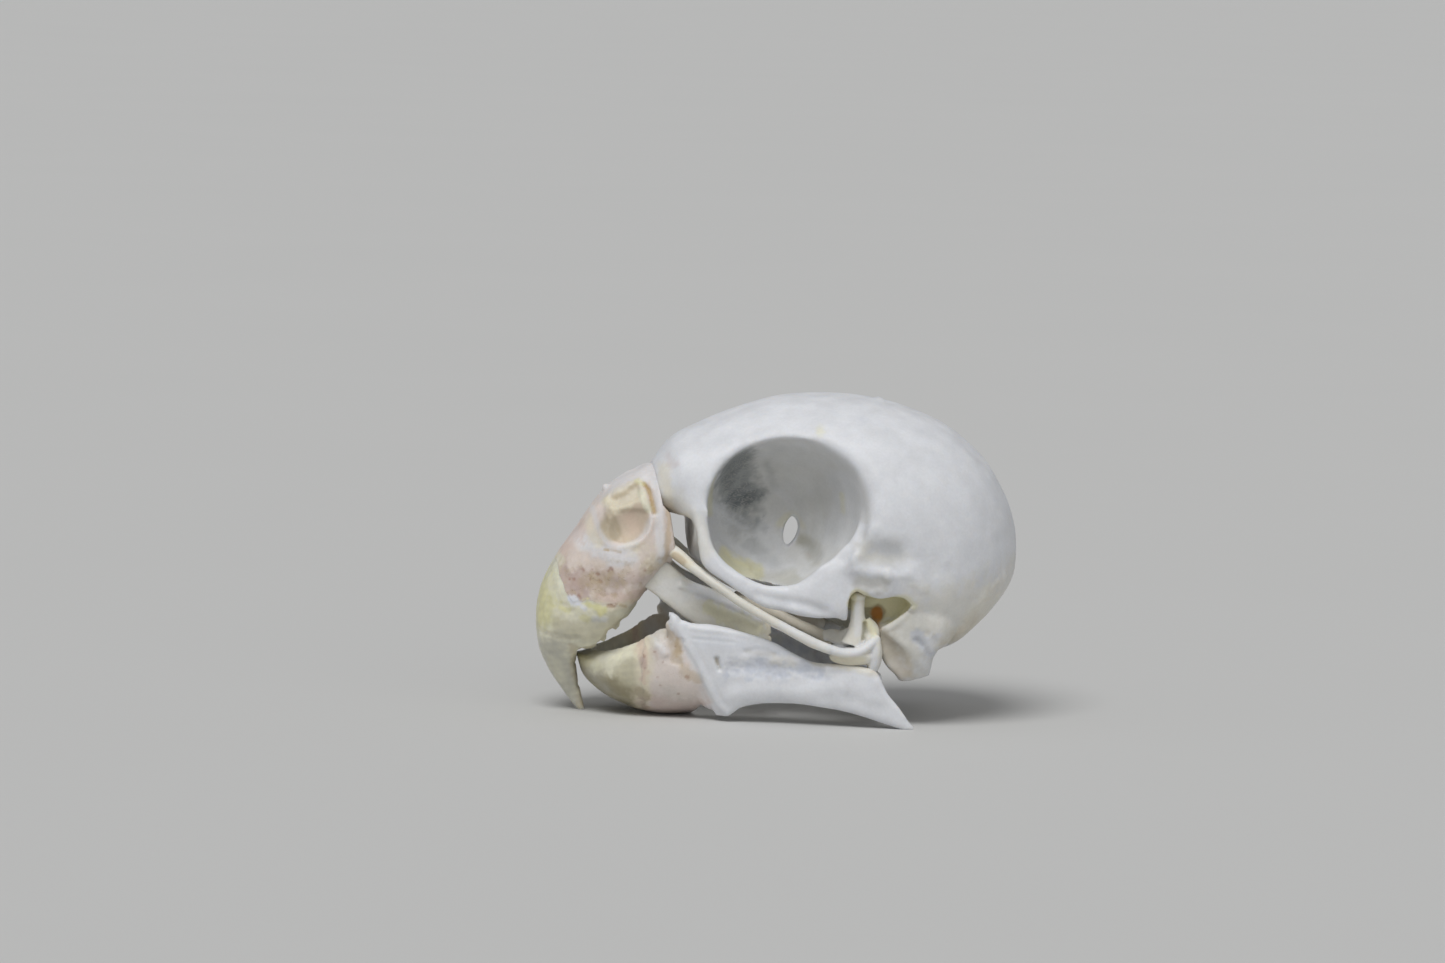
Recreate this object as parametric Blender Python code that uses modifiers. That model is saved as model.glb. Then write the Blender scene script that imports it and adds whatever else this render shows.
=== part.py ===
"""Life-size budgerigar skull, lying on its bill tip and lower jaw on a flat surface.

The bill points along -X, the crown along +Z, and the skull's left side faces -Y.
The origin is on the surface it rests on, under the middle of the skull.
Every shape is worked in millimetres and finished in metres.
"""

import math

import bmesh
import bpy
from mathutils import Matrix, Vector

MM = 0.001
GAP = 0.25  # between neighbouring bones
SKULL_LENGTH = 26.2  # front of the bill to the back of the head, along X
BACK = SKULL_LENGTH / 2
FAR = 30.0  # beyond the skull every way
LEFT, RIGHT = -1, 1
SIDES = {"left": LEFT, "right": RIGHT}

# The skull is drawn as measured, then tipped (degrees) and moved to lie on its bill tip and jaw.
REST_PITCH = -1.42
REST_SHIFT = (0.167, 0.0, 0.05)

VOXEL = 0.17  # grain of the fused bones
ROUNDING_PASSES = 5
ROUNDING_STRENGTH = 0.5

# Each section stands across the skull: (top x, z), (bottom x, z), half width, y of its middle.
# A path's stations are (centre), half thickness, half height.
# A lump is (centre), (radii), degrees of tilt about the Y axis. A box is (low corner), (high corner).

# Braincase and forehead, from the bill hinge to the back of the head.
HEAD_SECTIONS = [
    ((-6.85, 13.6), (-6.3, 11.2), 3.7, 0),
    ((-5.7, 15.05), (-5.5, 10.6), 4.4, 0),
    ((-4.0, 15.95), (-4.5, 8.6), 4.9, 0),
    ((-2.0, 16.72), (-2.2, 8.2), 5.3, 0),
    ((0.2, 17.28), (-0.2, 6.9), 6.1, 0),
    ((2.4, 17.42), (2.0, 5.5), 7.0, 0),
    ((4.8, 17.24), (4.5, 4.3), 7.55, 0),
    ((7.2, 16.65), (7.0, 3.7), 7.45, 0),
    ((9.4, 15.6), (9.2, 3.6), 6.75, 0),
    ((11.2, 14.0), (11.0, 4.9), 5.3, 0),
    ((12.35, 12.2), (12.2, 6.2), 3.6, 0),
    ((12.95, 10.5), (12.9, 7.4), 1.9, 0),
    ((BACK, 9.3), (BACK, 8.7), 0.4, 0),
]
HEAD_FULLNESS = 2.35
HEAD_BELT = 0.42

# Eye socket: a bowl 8.1 mm across at its mouth, with (share of the depth, share of the radius).
ORBIT_RADIUS = 4.05
ORBIT_AROUND = 40
ORBIT_MOUTH = Vector((0.1, 5.6, 11.55))
ORBIT_FLOOR = Vector((-0.9, 0.32, 10.4))
ORBIT_BOWL = [(-0.9, 1.06), (0.0, 1.0), (0.35, 0.95), (0.65, 0.84), (0.9, 0.66), (1.0, 0.45)]
OPTIC_HOLE = ((0.75, 0, 9.9), (0.42, 1.2, 0.75), 20)
UNDER_EYE_SPACE = ((-3.6, 0.4, 3.5), (1.5, 9.0, 10.0))
JAW_MUSCLE_HOLLOW = ((2.3, 4.6, 4.4), (2.9, 2.0, 2.1), 0)
TEMPLE_HOLLOW = ((4.7, 8.0, 7.9), (0.9, 0.85, 0.6), 0)
FACE_GAP = ((-7.5, -9.0, 6.5), (-4.75, 9.0, 11.1))
NECK_HOLE = ((10.5, 0, 3.8), (1.3, 1.5, 1.1), 0)
QUADRATE_BAY = ((3.25, 4.4, 1.0), (5.1, 9.0, 7.15))
EAR_OPENING = ((5.3, 7.0, 6.15), (1.65, 1.9, 0.8), -16)

# The bony bar in front of the eye, and on below it to the temple.
ARCH_PATH = [
    ((-4.6, 4.35, 11.5), 0.5, 0.4),
    ((-4.35, 4.7, 10.45), 0.4, 0.32),
    ((-4.15, 4.9, 9.55), 0.4, 0.42),
    ((-3.85, 5.05, 8.8), 0.42, 0.52),
    ((-3.0, 5.35, 8.1), 0.4, 0.45),
    ((-1.9, 5.75, 7.38), 0.4, 0.48),
    ((-0.9, 6.0, 6.95), 0.42, 0.62),
    ((0.0, 6.2, 6.88), 0.45, 0.72),
    ((0.9, 6.4, 6.85), 0.48, 0.95),
    ((1.7, 6.55, 7.0), 0.5, 1.2),
    ((2.6, 6.75, 7.3), 0.55, 1.6),
    ((3.2, 6.8, 7.4), 0.6, 1.7),
]
# The beak of the skull's floor, which runs forward under the wall between the eyes.
ROSTRUM_PATH = [((-4.6, 0, 8.9), 0.4, 0.35), ((-1.0, 0, 7.4), 0.5, 0.4), ((2.4, 0, 5.6), 0.7, 0.6)]
# The wing of bone behind the ear, which hangs below the braincase.
WING_PATH = [
    ((7.1, 5.6, 6.8), 0.9, 1.7),
    ((6.95, 5.6, 5.4), 1.0, 1.85),
    ((6.8, 5.4, 3.9), 0.85, 1.6),
    ((7.0, 5.3, 2.85), 0.55, 1.05),
    ((7.1, 5.25, 2.35), 0.35, 0.85),
]
WING_ROOT = ((7.7, 4.9, 5.4), (1.7, 1.7, 1.7), 0)
NECK_KNOB = ((9.0, 0, 3.5), (0.5, 0.5, 0.4), 0)

# Upper bill, bone and horn together, from the hinge round to the hook's tip.
BILL_SECTIONS = [
    ((-6.3, 13.4), (-5.5, 7.9), 3.85, 0),
    ((-6.8, 13.55), (-6.05, 8.1), 3.95, 0),
    ((-8.3, 13.05), (-6.95, 7.1), 4.05, 0),
    ((-9.75, 11.8), (-7.8, 6.25), 3.98, 0),
    ((-10.9, 10.15), (-8.55, 5.2), 3.65, 0),
    ((-11.95, 8.7), (-9.3, 4.4), 3.3, 0),
    ((-12.8, 7.05), (-10.0, 3.85), 2.9, 0),
    ((-13.1, 5.2), (-10.6, 3.55), 2.4, 0),
    ((-12.9, 3.5), (-10.95, 3.1), 1.65, 0),
    ((-12.2, 2.05), (-10.85, 2.05), 1.0, 0),
    ((-11.35, 0.85), (-10.65, 0.95), 0.5, 0),
    ((-10.7, 0.0), (-10.45, 0.05), 0.25, 0),
]
BILL_FULLNESS = 2.6
BILL_BELT = 0.3
BILL_HOLLOW = ((-8.2, 0, 4.4), (2.6, 1.9, 1.5), -40)
NOSTRIL = ((-8.2, 3.95, 11.6), (1.9, 1.5, 1.4), -42)
NOSTRIL_LUMP = ((-8.2, 2.7, 12.1), (1.0, 0.5, 0.42), -35)
# The back face of the bill, where it hinges on the forehead, seen from the side.
HINGE_LINE = [(-6.75, 20), (-6.75, 13.6), (-6.4, 11.7), (-5.8, 11.0), (-5.75, 9.6), (-6.0, 8.0), (-6.0, 0)]
# Where the horn sheath's upper edge runs over the bill's bone, seen from the side.
SHEATH_EDGE = [
    (-12.6, 8.8),
    (-11.9, 8.5),
    (-11.6, 7.1),
    (-11.2, 6.4),
    (-10.4, 6.35),
    (-9.4, 6.2),
    (-8.4, 6.2),
    (-7.6, 6.45),
]

# Lower jaw: the scoop in front, what hollows it, and one of its side bars.
SCOOP_SECTIONS = [
    ((-10.9, 3.35), (-10.85, 3.0), 0.8, 0),
    ((-10.4, 3.4), (-10.45, 2.0), 2.0, 0),
    ((-9.3, 3.85), (-9.3, 1.02), 3.1, 0),
    ((-8.0, 4.6), (-8.0, 0.42), 3.8, 0),
    ((-7.1, 5.25), (-7.0, 0.12), 4.15, 0),
    ((-6.3, 5.9), (-6.2, 0.02), 4.4, 0),
    ((-5.5, 5.5), (-4.7, 0.08), 4.65, 0),
    ((-4.8, 5.3), (-3.0, 0.5), 4.9, 0),
]
SCOOP_HOLLOW = [
    ((-10.3, 6.0), (-10.0, 3.2), 0.7, 0),
    ((-9.4, 7.0), (-9.2, 2.3), 2.1, 0),
    ((-8.0, 8.0), (-8.0, 1.5), 3.0, 0),
    ((-6.5, 8.0), (-6.5, 1.15), 3.5, 0),
    ((-5.0, 8.0), (-5.2, 0.9), 3.85, 0),
    ((-3.8, 8.0), (-4.0, -0.8), 4.1, 0),
    ((-2.0, 8.0), (-2.0, -1.5), 4.6, 0),
]
SCOOP_FULLNESS = 2.6
SCOOP_BELT = 0.6
JAW_BAR_SECTIONS = [
    ((-5.9, 5.75), (-4.5, 0.32), 0.36, 4.38),
    ((-5.0, 5.42), (-3.4, 0.5), 0.4, 4.58),
    ((-4.0, 5.4), (-2.6, 0.7), 0.42, 4.75),
    ((-2.9, 5.15), (-1.8, 0.95), 0.42, 4.92),
    ((-1.6, 4.77), (-1.1, 1.06), 0.42, 5.1),
    ((-0.4, 4.33), (-0.2, 1.1), 0.42, 5.3),
    ((0.6, 3.8), (0.6, 1.1), 0.42, 5.5),
    ((1.6, 3.35), (1.6, 0.98), 0.45, 5.75),
    ((3.0, 3.3), (3.0, 0.75), 0.5, 6.05),
    ((4.2, 3.15), (4.2, 0.45), 0.55, 6.25),
    ((4.95, 2.85), (5.0, 0.18), 0.5, 6.35),
    ((5.5, 1.75), (5.7, -0.04), 0.45, 6.42),
    ((6.1, 1.0), (6.2, -0.22), 0.4, 6.46),
    ((6.65, 0.2), (6.65, -0.36), 0.3, 6.5),
    ((6.95, -0.1), (6.9, -0.34), 0.18, 6.5),
]
JAW_BAR_FULLNESS = 3.0
JAW_INNER_KNOB = ((4.0, 5.4, 2.45), (1.3, 1.2, 0.6), 0)
LOWER_SHEATH_EDGE = -7.5

# Quadrate: the upright bone that the lower jaw hangs on.
QUADRATE_PATHS = [
    [
        ((3.86, 6.0, 6.75), 0.4, 0.34),
        ((3.95, 5.95, 5.8), 0.4, 0.32),
        ((3.85, 5.95, 5.1), 0.45, 0.42),
        ((3.75, 5.95, 4.4), 0.6, 0.7),
    ],
    [((4.55, 5.5, 5.3), 0.3, 0.25), ((4.8, 5.7, 4.8), 0.3, 0.28), ((4.6, 5.9, 4.2), 0.35, 0.35)],
    [
        ((2.65, 6.6, 4.0), 0.32, 0.3),
        ((3.4, 6.65, 3.95), 0.4, 0.35),
        ((4.2, 6.5, 4.15), 0.4, 0.42),
        ((4.85, 6.2, 4.1), 0.35, 0.6),
    ],
    [((3.4, 5.7, 4.9), 0.3, 0.5), ((2.7, 5.1, 4.85), 0.26, 0.35), ((2.05, 4.75, 4.85), 0.25, 0.25)],
]
QUADRATE_LUMPS = [
    ((3.85, 6.0, 6.75), (0.4, 0.5, 0.3), 0),
    ((3.85, 5.9, 3.95), (1.25, 0.75, 0.5), 0),
    ((3.3, 5.0, 4.0), (0.7, 0.6, 0.45), 0),
]

PALATINE_SECTIONS = [
    ((-5.7, 7.75), (-6.55, 6.75), 0.35, 2.95),
    ((-4.8, 7.5), (-5.0, 5.35), 0.32, 2.78),
    ((-3.4, 6.95), (-3.2, 4.2), 0.3, 2.6),
    ((-2.1, 6.15), (-2.0, 3.5), 0.3, 2.4),
    ((-1.1, 5.45), (-1.1, 3.2), 0.3, 2.25),
    ((-0.5, 5.0), (-0.45, 3.7), 0.28, 2.15),
]
PALATINE_FULLNESS = 3.0
JUGAL_PATH = [
    ((-5.7, 4.15, 9.0), 0.28, 0.3),
    ((-4.9, 4.65, 8.45), 0.28, 0.27),
    ((-3.4, 5.4, 7.36), 0.28, 0.25),
    ((-1.2, 6.1, 5.96), 0.28, 0.25),
    ((0.9, 6.6, 4.8), 0.28, 0.29),
    ((1.7, 6.75, 4.33), 0.28, 0.35),
    ((2.15, 6.85, 4.05), 0.26, 0.38),
]
PTERYGOID_PATH = [
    ((-2.1, 0.95, 6.35), 0.3, 0.3),
    ((-0.4, 1.85, 5.75), 0.26, 0.3),
    ((1.0, 2.95, 5.1), 0.26, 0.28),
    ((2.35, 4.0, 4.55), 0.32, 0.32),
]

# Triangles that each fused bone is brought down to.
TRIANGLES = {
    "cranium": 4400,
    "upper_bill_bone": 840,
    "upper_bill_sheath": 560,
    "lower_jaw_sheath": 380,
    "lower_jaw": 1300,
    "quadrate": 340,
}


def clear_scene():
    """Starts from an empty scene."""
    for thing in list(bpy.data.objects):
        bpy.data.objects.remove(thing)


def plain_material(name, colour, roughness):
    """A material for one kind of bone or horn."""
    made = bpy.data.materials.new(name)
    made.use_nodes = True
    shader = made.node_tree.nodes["Principled BSDF"]
    shader.inputs["Base Color"].default_value = (*colour, 1)
    shader.inputs["Roughness"].default_value = roughness
    shader.inputs["Metallic"].default_value = 0
    return made


def smooth_rows(rows, between):
    """Rows of numbers, with a smooth curve's values added between each pair."""
    made = []
    for i in range(len(rows) - 1):
        quartet = [rows[max(i - 1, 0)], rows[i], rows[i + 1], rows[min(i + 2, len(rows) - 1)]]
        for step in range(between):
            made.append([curve_value(*values, step / between) for values in zip(*quartet)])
    return made + [list(rows[-1])]


def curve_value(before, start, end, after, t):
    """A smooth curve's value from start to end, bent by the values on either side."""
    slope = (end - before) * t
    bend = (2 * before - 5 * start + 4 * end - after) * t**2
    twist = (3 * start - before - 3 * end + after) * t**3
    return start + (slope + bend + twist) / 2


def oval(fullness, around):
    """A closed outline from -1 to 1 each way: an ellipse at fullness 2, squarer above it."""
    power = 2 / fullness
    for i in range(around):
        turn = 2 * math.pi * i / around
        across, along = math.cos(turn), math.sin(turn)
        yield math.copysign(abs(across) ** power, across), math.copysign(abs(along) ** power, along)


def skin(rings):
    """A closed form lofted through rings of points, with flat ends."""
    form = bmesh.new()
    loops = [[form.verts.new(point) for point in ring] for ring in rings]
    for first, second in zip(loops, loops[1:]):
        for i in range(len(first)):
            j = (i + 1) % len(first)
            form.faces.new((first[i], first[j], second[j], second[i]))
    form.faces.new(loops[0])
    form.faces.new(loops[-1])
    bmesh.ops.recalc_face_normals(form, faces=form.faces)
    return form


def fan(sections, fullness=2.0, belt=0.5, around=28, between=3, side=RIGHT):
    """A form through upright sections; belt is how far up each one is widest."""
    rows = [(*top, *bottom, half, y * side) for top, bottom, half, y in sections]
    rings = []
    for top_x, top_z, bottom_x, bottom_z, half, y in smooth_rows(rows, between):
        ring = []
        for across, along in oval(fullness, around):
            level = belt + along * ((1 - belt) if along > 0 else belt)
            x = bottom_x + (top_x - bottom_x) * level
            z = bottom_z + (top_z - bottom_z) * level
            ring.append((x, y + half * across, z))
        rings.append(ring)
    return skin(rings)


def limb(path, fullness=2.0, around=16, between=4, side=RIGHT):
    """A form swept along a path of centres, half thicknesses and half heights."""
    rows = smooth_rows([(x, y * side, z, thick, high) for (x, y, z), thick, high in path], between)
    centres = [Vector(row[:3]) for row in rows]
    rings = []
    for i, (*_, thick, high) in enumerate(rows):
        heading = (centres[min(i + 1, len(rows) - 1)] - centres[max(i - 1, 0)]).normalized()
        outward = Vector((0, 1, 0))
        outward = (outward - heading * outward.dot(heading)).normalized()
        upward = heading.cross(outward)
        across, along = outward * thick, upward * high
        rings.append([centres[i] + across * a + along * b for a, b in oval(fullness, around)])
    return skin(rings)


def lump(centre, radii, tilt, side=RIGHT):
    """An ellipsoid."""
    form = bmesh.new()
    bmesh.ops.create_uvsphere(form, u_segments=28, v_segments=18, radius=1)
    place = Matrix.Translation((centre[0], centre[1] * side, centre[2]))
    turned = place @ Matrix.Rotation(math.radians(tilt), 4, "Y") @ Matrix.Diagonal((*radii, 1))
    bmesh.ops.transform(form, matrix=turned, verts=form.verts)
    return form


def box(low, high, rounding=0.4, side=RIGHT):
    """A box between two corners, with rounded edges."""
    form = bmesh.new()
    bmesh.ops.create_cube(form, size=1)
    size = [b - a for a, b in zip(low, high)]
    middle = [(a + b) / 2 for a, b in zip(low, high)]
    middle[1] *= side
    place = Matrix.Translation(middle) @ Matrix.Diagonal((*size, 1))
    bmesh.ops.transform(form, matrix=place, verts=form.verts)
    if rounding:
        edges = list(form.edges)
        bmesh.ops.bevel(
            form, geom=edges, offset=rounding, segments=3, profile=0.5, affect="EDGES", material=-1
        )
    return form


def slab(outline):
    """A flat outline in the side view, extruded right across the skull."""
    form = bmesh.new()
    face = form.faces.new([form.verts.new((x, -FAR, z)) for x, z in outline])
    raised = bmesh.ops.extrude_face_region(form, geom=[face])["geom"]
    moved = [item for item in raised if isinstance(item, bmesh.types.BMVert)]
    bmesh.ops.translate(form, verts=moved, vec=(0, 2 * FAR, 0))
    bmesh.ops.recalc_face_normals(form, faces=form.faces)
    return form


def both(maker, *args, **kwargs):
    """The left and right ones of a form."""
    return [maker(*args, side=side, **kwargs) for side in SIDES.values()]


def copy_of(form, mirrored=False):
    """A second form like this one, or its mirror image across the skull's middle."""
    made = form.copy()
    if mirrored:
        bmesh.ops.scale(made, vec=(1, -1, 1), verts=made.verts)
        bmesh.ops.reverse_faces(made, faces=made.faces)
    return made


def working_object(name, forms):
    """One helper object that holds these forms, which are freed."""
    mesh = bpy.data.meshes.new(name)
    whole = bmesh.new()
    for form in forms:
        form.to_mesh(mesh)
        whole.from_mesh(mesh)
        form.free()
    whole.to_mesh(mesh)
    whole.free()
    made = bpy.data.objects.new(name, mesh)
    bpy.context.scene.collection.objects.link(made)
    return made


def baked(thing):
    """The helper object's form with its modifiers applied; the object is removed."""
    bpy.context.view_layer.update()
    evaluated = thing.evaluated_get(bpy.context.evaluated_depsgraph_get())
    form = bmesh.new()
    form.from_mesh(bpy.data.meshes.new_from_object(evaluated))
    bpy.data.objects.remove(thing)
    return form


def carved(form, cutters):
    """The form with every cutter taken out of it."""
    body = working_object("carving", [form])
    tools = [working_object("cutter", [cutter]) for cutter in cutters]
    for tool in tools:
        cut = body.modifiers.new("Cut", "BOOLEAN")
        cut.operation = "DIFFERENCE"
        cut.object = tool
    made = baked(body)
    for tool in tools:
        bpy.data.objects.remove(tool)
    return made


def fused(forms):
    """Overlapping forms grown together into one bone with softened edges."""
    body = working_object("fusing", forms)
    grain = body.modifiers.new("Fuse", "REMESH")
    grain.mode = "VOXEL"
    grain.voxel_size = VOXEL
    soften = body.modifiers.new("Soften", "SMOOTH")
    soften.factor = ROUNDING_STRENGTH
    soften.iterations = ROUNDING_PASSES
    return baked(body)


def reduced(form, triangles):
    """The form in about this many triangles."""
    body = working_object("reducing", [form])
    body.data.calc_loop_triangles()
    fewer = body.modifiers.new("Fewer", "DECIMATE")
    fewer.ratio = min(1, triangles / len(body.data.loop_triangles))
    return baked(body)


def orbit_bowl(side):
    """The eye socket's space, in rings from outside its mouth down to its floor."""
    rings = []
    for depth, share in ORBIT_BOWL:
        centre = ORBIT_MOUTH.lerp(ORBIT_FLOOR, depth)
        radius = ORBIT_RADIUS * share
        circle = [(radius * a, radius * b) for a, b in oval(2, ORBIT_AROUND)]
        rings.append([(centre.x + across, centre.y * side, centre.z + along) for across, along in circle])
    return skin(rings)


def ear_spaces(side):
    """The bay that holds the quadrate, and the ear opening behind it."""
    return [box(*QUADRATE_BAY, side=side), lump(*EAR_OPENING, side=side)]


def make_cranium():
    """Braincase and forehead, with the bars round the eyes."""
    hollows = [box(*FACE_GAP), lump(*OPTIC_HOLE), lump(*NECK_HOLE)]
    wings = []
    for side in SIDES.values():
        hollows += [orbit_bowl(side), box(*UNDER_EYE_SPACE, side=side), *ear_spaces(side)]
        hollows += [lump(*JAW_MUSCLE_HOLLOW, side=side), lump(*TEMPLE_HOLLOW, side=side)]
        wings.append(carved(limb(WING_PATH, fullness=2.6, side=side), ear_spaces(side)))
    head = fan(HEAD_SECTIONS, HEAD_FULLNESS, HEAD_BELT, around=40, between=4)
    arches = both(limb, ARCH_PATH, fullness=2.4)
    knobs = [*both(lump, *WING_ROOT), lump(*NECK_KNOB), limb(ROSTRUM_PATH)]
    cranium = fused([carved(head, hollows), *wings, *arches, *knobs])
    in_front_of_hinge = [(x + GAP, z) for x, z in HINGE_LINE] + [(-FAR, 0), (-FAR, 20)]
    return carved(cranium, [slab(in_front_of_hinge)])


def make_bill():
    """The upper bill, bone and horn together, with its nostrils."""
    bill = fan(BILL_SECTIONS, BILL_FULLNESS, BILL_BELT, around=32)
    hollowed = carved(bill, [*both(lump, *NOSTRIL), lump(*BILL_HOLLOW)])
    whole = fused([hollowed, *both(lump, *NOSTRIL_LUMP)])
    behind_hinge = HINGE_LINE + [(FAR, 0), (FAR, 20)]
    return carved(whole, [slab(behind_hinge)])


def below_sheath_edge(shift):
    """The space below the line where bill bone meets horn, which is moved up by shift."""
    line = [(x + shift, z + shift) for x, z in SHEATH_EDGE]
    front, back = line[0], line[-1]
    return slab([*line, (FAR, back[1]), (FAR, -FAR), (-FAR, -FAR), (-FAR, front[1])])


def above_sheath_edge(shift):
    """The space above that line, which is moved down by shift."""
    line = [(x - shift, z - shift) for x, z in SHEATH_EDGE]
    front, back = line[0], line[-1]
    return slab([*line, (FAR, back[1]), (FAR, FAR), (-FAR, FAR), (-FAR, front[1])])


def make_jaw():
    """The lower jaw, bone and horn together."""
    scoop = carved(fan(SCOOP_SECTIONS, SCOOP_FULLNESS, SCOOP_BELT), [fan(SCOOP_HOLLOW, SCOOP_FULLNESS)])
    bars = both(fan, JAW_BAR_SECTIONS, fullness=JAW_BAR_FULLNESS)
    return fused([scoop, *bars, *both(lump, *JAW_INNER_KNOB)])


def make_quadrate():
    """The right quadrate."""
    return fused([*[limb(path) for path in QUADRATE_PATHS], *[lump(*values) for values in QUADRATE_LUMPS]])


def finish(name, form, material, collection):
    """The named part, tipped to rest on the surface, with flats where it touches, in metres."""
    budget = TRIANGLES.get(name.removesuffix("_left").removesuffix("_right"))
    if budget:
        form = reduced(form, budget)
    pose = Matrix.Translation(REST_SHIFT) @ Matrix.Rotation(math.radians(REST_PITCH), 4, "Y")
    bmesh.ops.transform(form, matrix=pose, verts=form.verts)
    for vert in form.verts:
        vert.co.z = max(vert.co.z, 0)
    bmesh.ops.scale(form, vec=(MM, MM, MM), verts=form.verts)
    mesh = bpy.data.meshes.new(name)
    form.to_mesh(mesh)
    form.free()
    mesh.materials.append(material)
    mesh.shade_smooth()
    collection.objects.link(bpy.data.objects.new(name, mesh))


def build():
    """The whole skull."""
    clear_scene()
    collection = bpy.data.collections.new("budgerigar_skull")
    bpy.context.scene.collection.children.link(collection)
    bone = plain_material("bone", (0.78, 0.77, 0.74), 0.45)
    bill_bone = plain_material("bill_bone", (0.72, 0.6, 0.52), 0.6)
    horn = plain_material("horn", (0.68, 0.62, 0.36), 0.4)
    thin_bone = plain_material("thin_bone", (0.75, 0.71, 0.58), 0.45)

    finish("cranium", make_cranium(), bone, collection)

    bill = make_bill()
    bill_top = carved(copy_of(bill), [below_sheath_edge(GAP / 2)])
    finish("upper_bill_bone", bill_top, bill_bone, collection)
    finish("upper_bill_sheath", carved(bill, [above_sheath_edge(GAP / 2)]), horn, collection)

    jaw = make_jaw()
    behind_edge = box((LOWER_SHEATH_EDGE - GAP / 2, -FAR, -FAR), (FAR, FAR, FAR), rounding=0)
    before_edge = box((-FAR, -FAR, -FAR), (LOWER_SHEATH_EDGE + GAP / 2, FAR, FAR), rounding=0)
    finish("lower_jaw_sheath", carved(copy_of(jaw), [behind_edge]), horn, collection)
    finish("lower_jaw", carved(jaw, [before_edge]), bone, collection)

    pairs = {
        "quadrate": make_quadrate(),
        "jugal_bar": limb(JUGAL_PATH, around=10, between=3),
        "palatine": fan(PALATINE_SECTIONS, PALATINE_FULLNESS, around=14, between=2),
        "pterygoid": limb(PTERYGOID_PATH, around=10, between=3),
    }
    for name, right_form in pairs.items():
        finish(f"{name}_left", copy_of(right_form, mirrored=True), thin_bone, collection)
        finish(f"{name}_right", right_form, thin_bone, collection)


build()
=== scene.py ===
"""Dresses the budgerigar skull: every bone and every piece of horn is remade in fine detail.

Shapes are worked in millimetres as measured, with the bill along -X, the crown along +Z and the
skull's left side towards -Y. The last step tips them onto the surface and turns them into metres.
"""

from __future__ import annotations

import logging
import math
from dataclasses import dataclass, field
from enum import Enum
from typing import Iterable, Sequence

import bmesh
import bpy
import numpy as np
from mathutils import Matrix, Vector, noise

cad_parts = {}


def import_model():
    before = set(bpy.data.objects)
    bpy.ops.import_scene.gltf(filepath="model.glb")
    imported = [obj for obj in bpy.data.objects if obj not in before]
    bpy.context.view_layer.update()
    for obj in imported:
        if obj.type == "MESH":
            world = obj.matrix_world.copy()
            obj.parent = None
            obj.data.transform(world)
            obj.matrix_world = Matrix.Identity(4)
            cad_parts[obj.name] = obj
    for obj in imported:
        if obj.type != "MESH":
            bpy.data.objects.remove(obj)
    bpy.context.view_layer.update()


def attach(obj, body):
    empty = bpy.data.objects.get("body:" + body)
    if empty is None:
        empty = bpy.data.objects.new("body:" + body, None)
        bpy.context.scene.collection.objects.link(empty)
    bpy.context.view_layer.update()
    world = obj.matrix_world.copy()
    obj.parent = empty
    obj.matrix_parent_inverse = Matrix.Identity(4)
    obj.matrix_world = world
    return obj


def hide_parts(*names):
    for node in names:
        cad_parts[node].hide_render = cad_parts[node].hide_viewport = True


log = logging.getLogger("skull")

Colour = tuple[float, float, float]
Spot = tuple[float, float]  # x, z seen from the side
Place = tuple[float, float, float]
Form = bmesh.types.BMesh

MM = 0.001
REST_PITCH = -1.42  # degrees that the measured skull is tipped to lie on bill tip and jaw
REST_SHIFT = (0.167, 0.0, 0.05)
REST = Matrix.Translation(REST_SHIFT) @ Matrix.Rotation(math.radians(REST_PITCH), 4, "Y")
FAR = 30.0  # mm, past every bone
SEAM = 0.004  # mm, the width of a seam between two pieces
ROUNDING_STRENGTH = 0.5  # share of the way to its neighbours' middle that a point moves in one pass
COARSE_WOBBLE = 0.9  # mm, the grain of uneven edges
FINE_WOBBLE = 0.25
CUT_ANGLE = 55  # degrees, the least angle that is left as a sharp edge
GLOW_DEPTH = 0.5  # mm that light gets under a surface
LUMP_STEPS = (56, 36)  # faces round and up an ellipsoid
BOX_ROUNDING_STEPS = 6
SLAB_ROUNDING_STEPS = 4

# Bone and horn colours, and the colours of painted shade.
WHITE_BONE: Colour = (0.745, 0.757, 0.785)
WARM_BONE: Colour = (0.76, 0.74, 0.67)
CREAM: Colour = (0.74, 0.68, 0.53)
# Grey of the bone's greyer parts and thin lines, also laid as painted shade in hollows.
GREY_BONE_AND_SHADE: Colour = (0.6, 0.585, 0.525)
SLATE: Colour = (0.13, 0.15, 0.16)
BLUISH: Colour = (0.58, 0.61, 0.68)
OLIVE: Colour = (0.72, 0.68, 0.44)
# Painted shade in slits and recesses and along the socket floor.
OLIVE_SHADE: Colour = (0.3, 0.28, 0.16)
PALE_YELLOW: Colour = (0.74, 0.7, 0.42)
RUST: Colour = (0.62, 0.27, 0.06)
PINK_BONE: Colour = (0.74, 0.65, 0.59)
DUSKY_PINK: Colour = (0.5, 0.38, 0.34)
ROSE: Colour = (0.66, 0.5, 0.42)
RED_BROWN: Colour = (0.3, 0.13, 0.07)
TAN: Colour = (0.5, 0.4, 0.25)
TAUPE: Colour = (0.42, 0.36, 0.25)
OCHRE: Colour = (0.48, 0.32, 0.1)
HORN_YELLOW: Colour = (0.72, 0.69, 0.38)
HORN_IVORY: Colour = (0.76, 0.74, 0.59)
HORN_GREY: Colour = (0.52, 0.51, 0.45)
HORN_GREEN: Colour = (0.56, 0.53, 0.4)
# Painted shade under the lower bill's horn and inside the dent at the back of the braincase.
BROWN_SHADE: Colour = (0.22, 0.18, 0.09)


class Side(Enum):
    """The two halves of the skull."""

    LEFT = -1
    RIGHT = 1


class Slot(Enum):
    """The record's material slots."""

    BONE = "bone"
    BILL_BONE = "bill_bone"
    HORN = "horn"
    THIN_BONE = "thin_bone"


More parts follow.
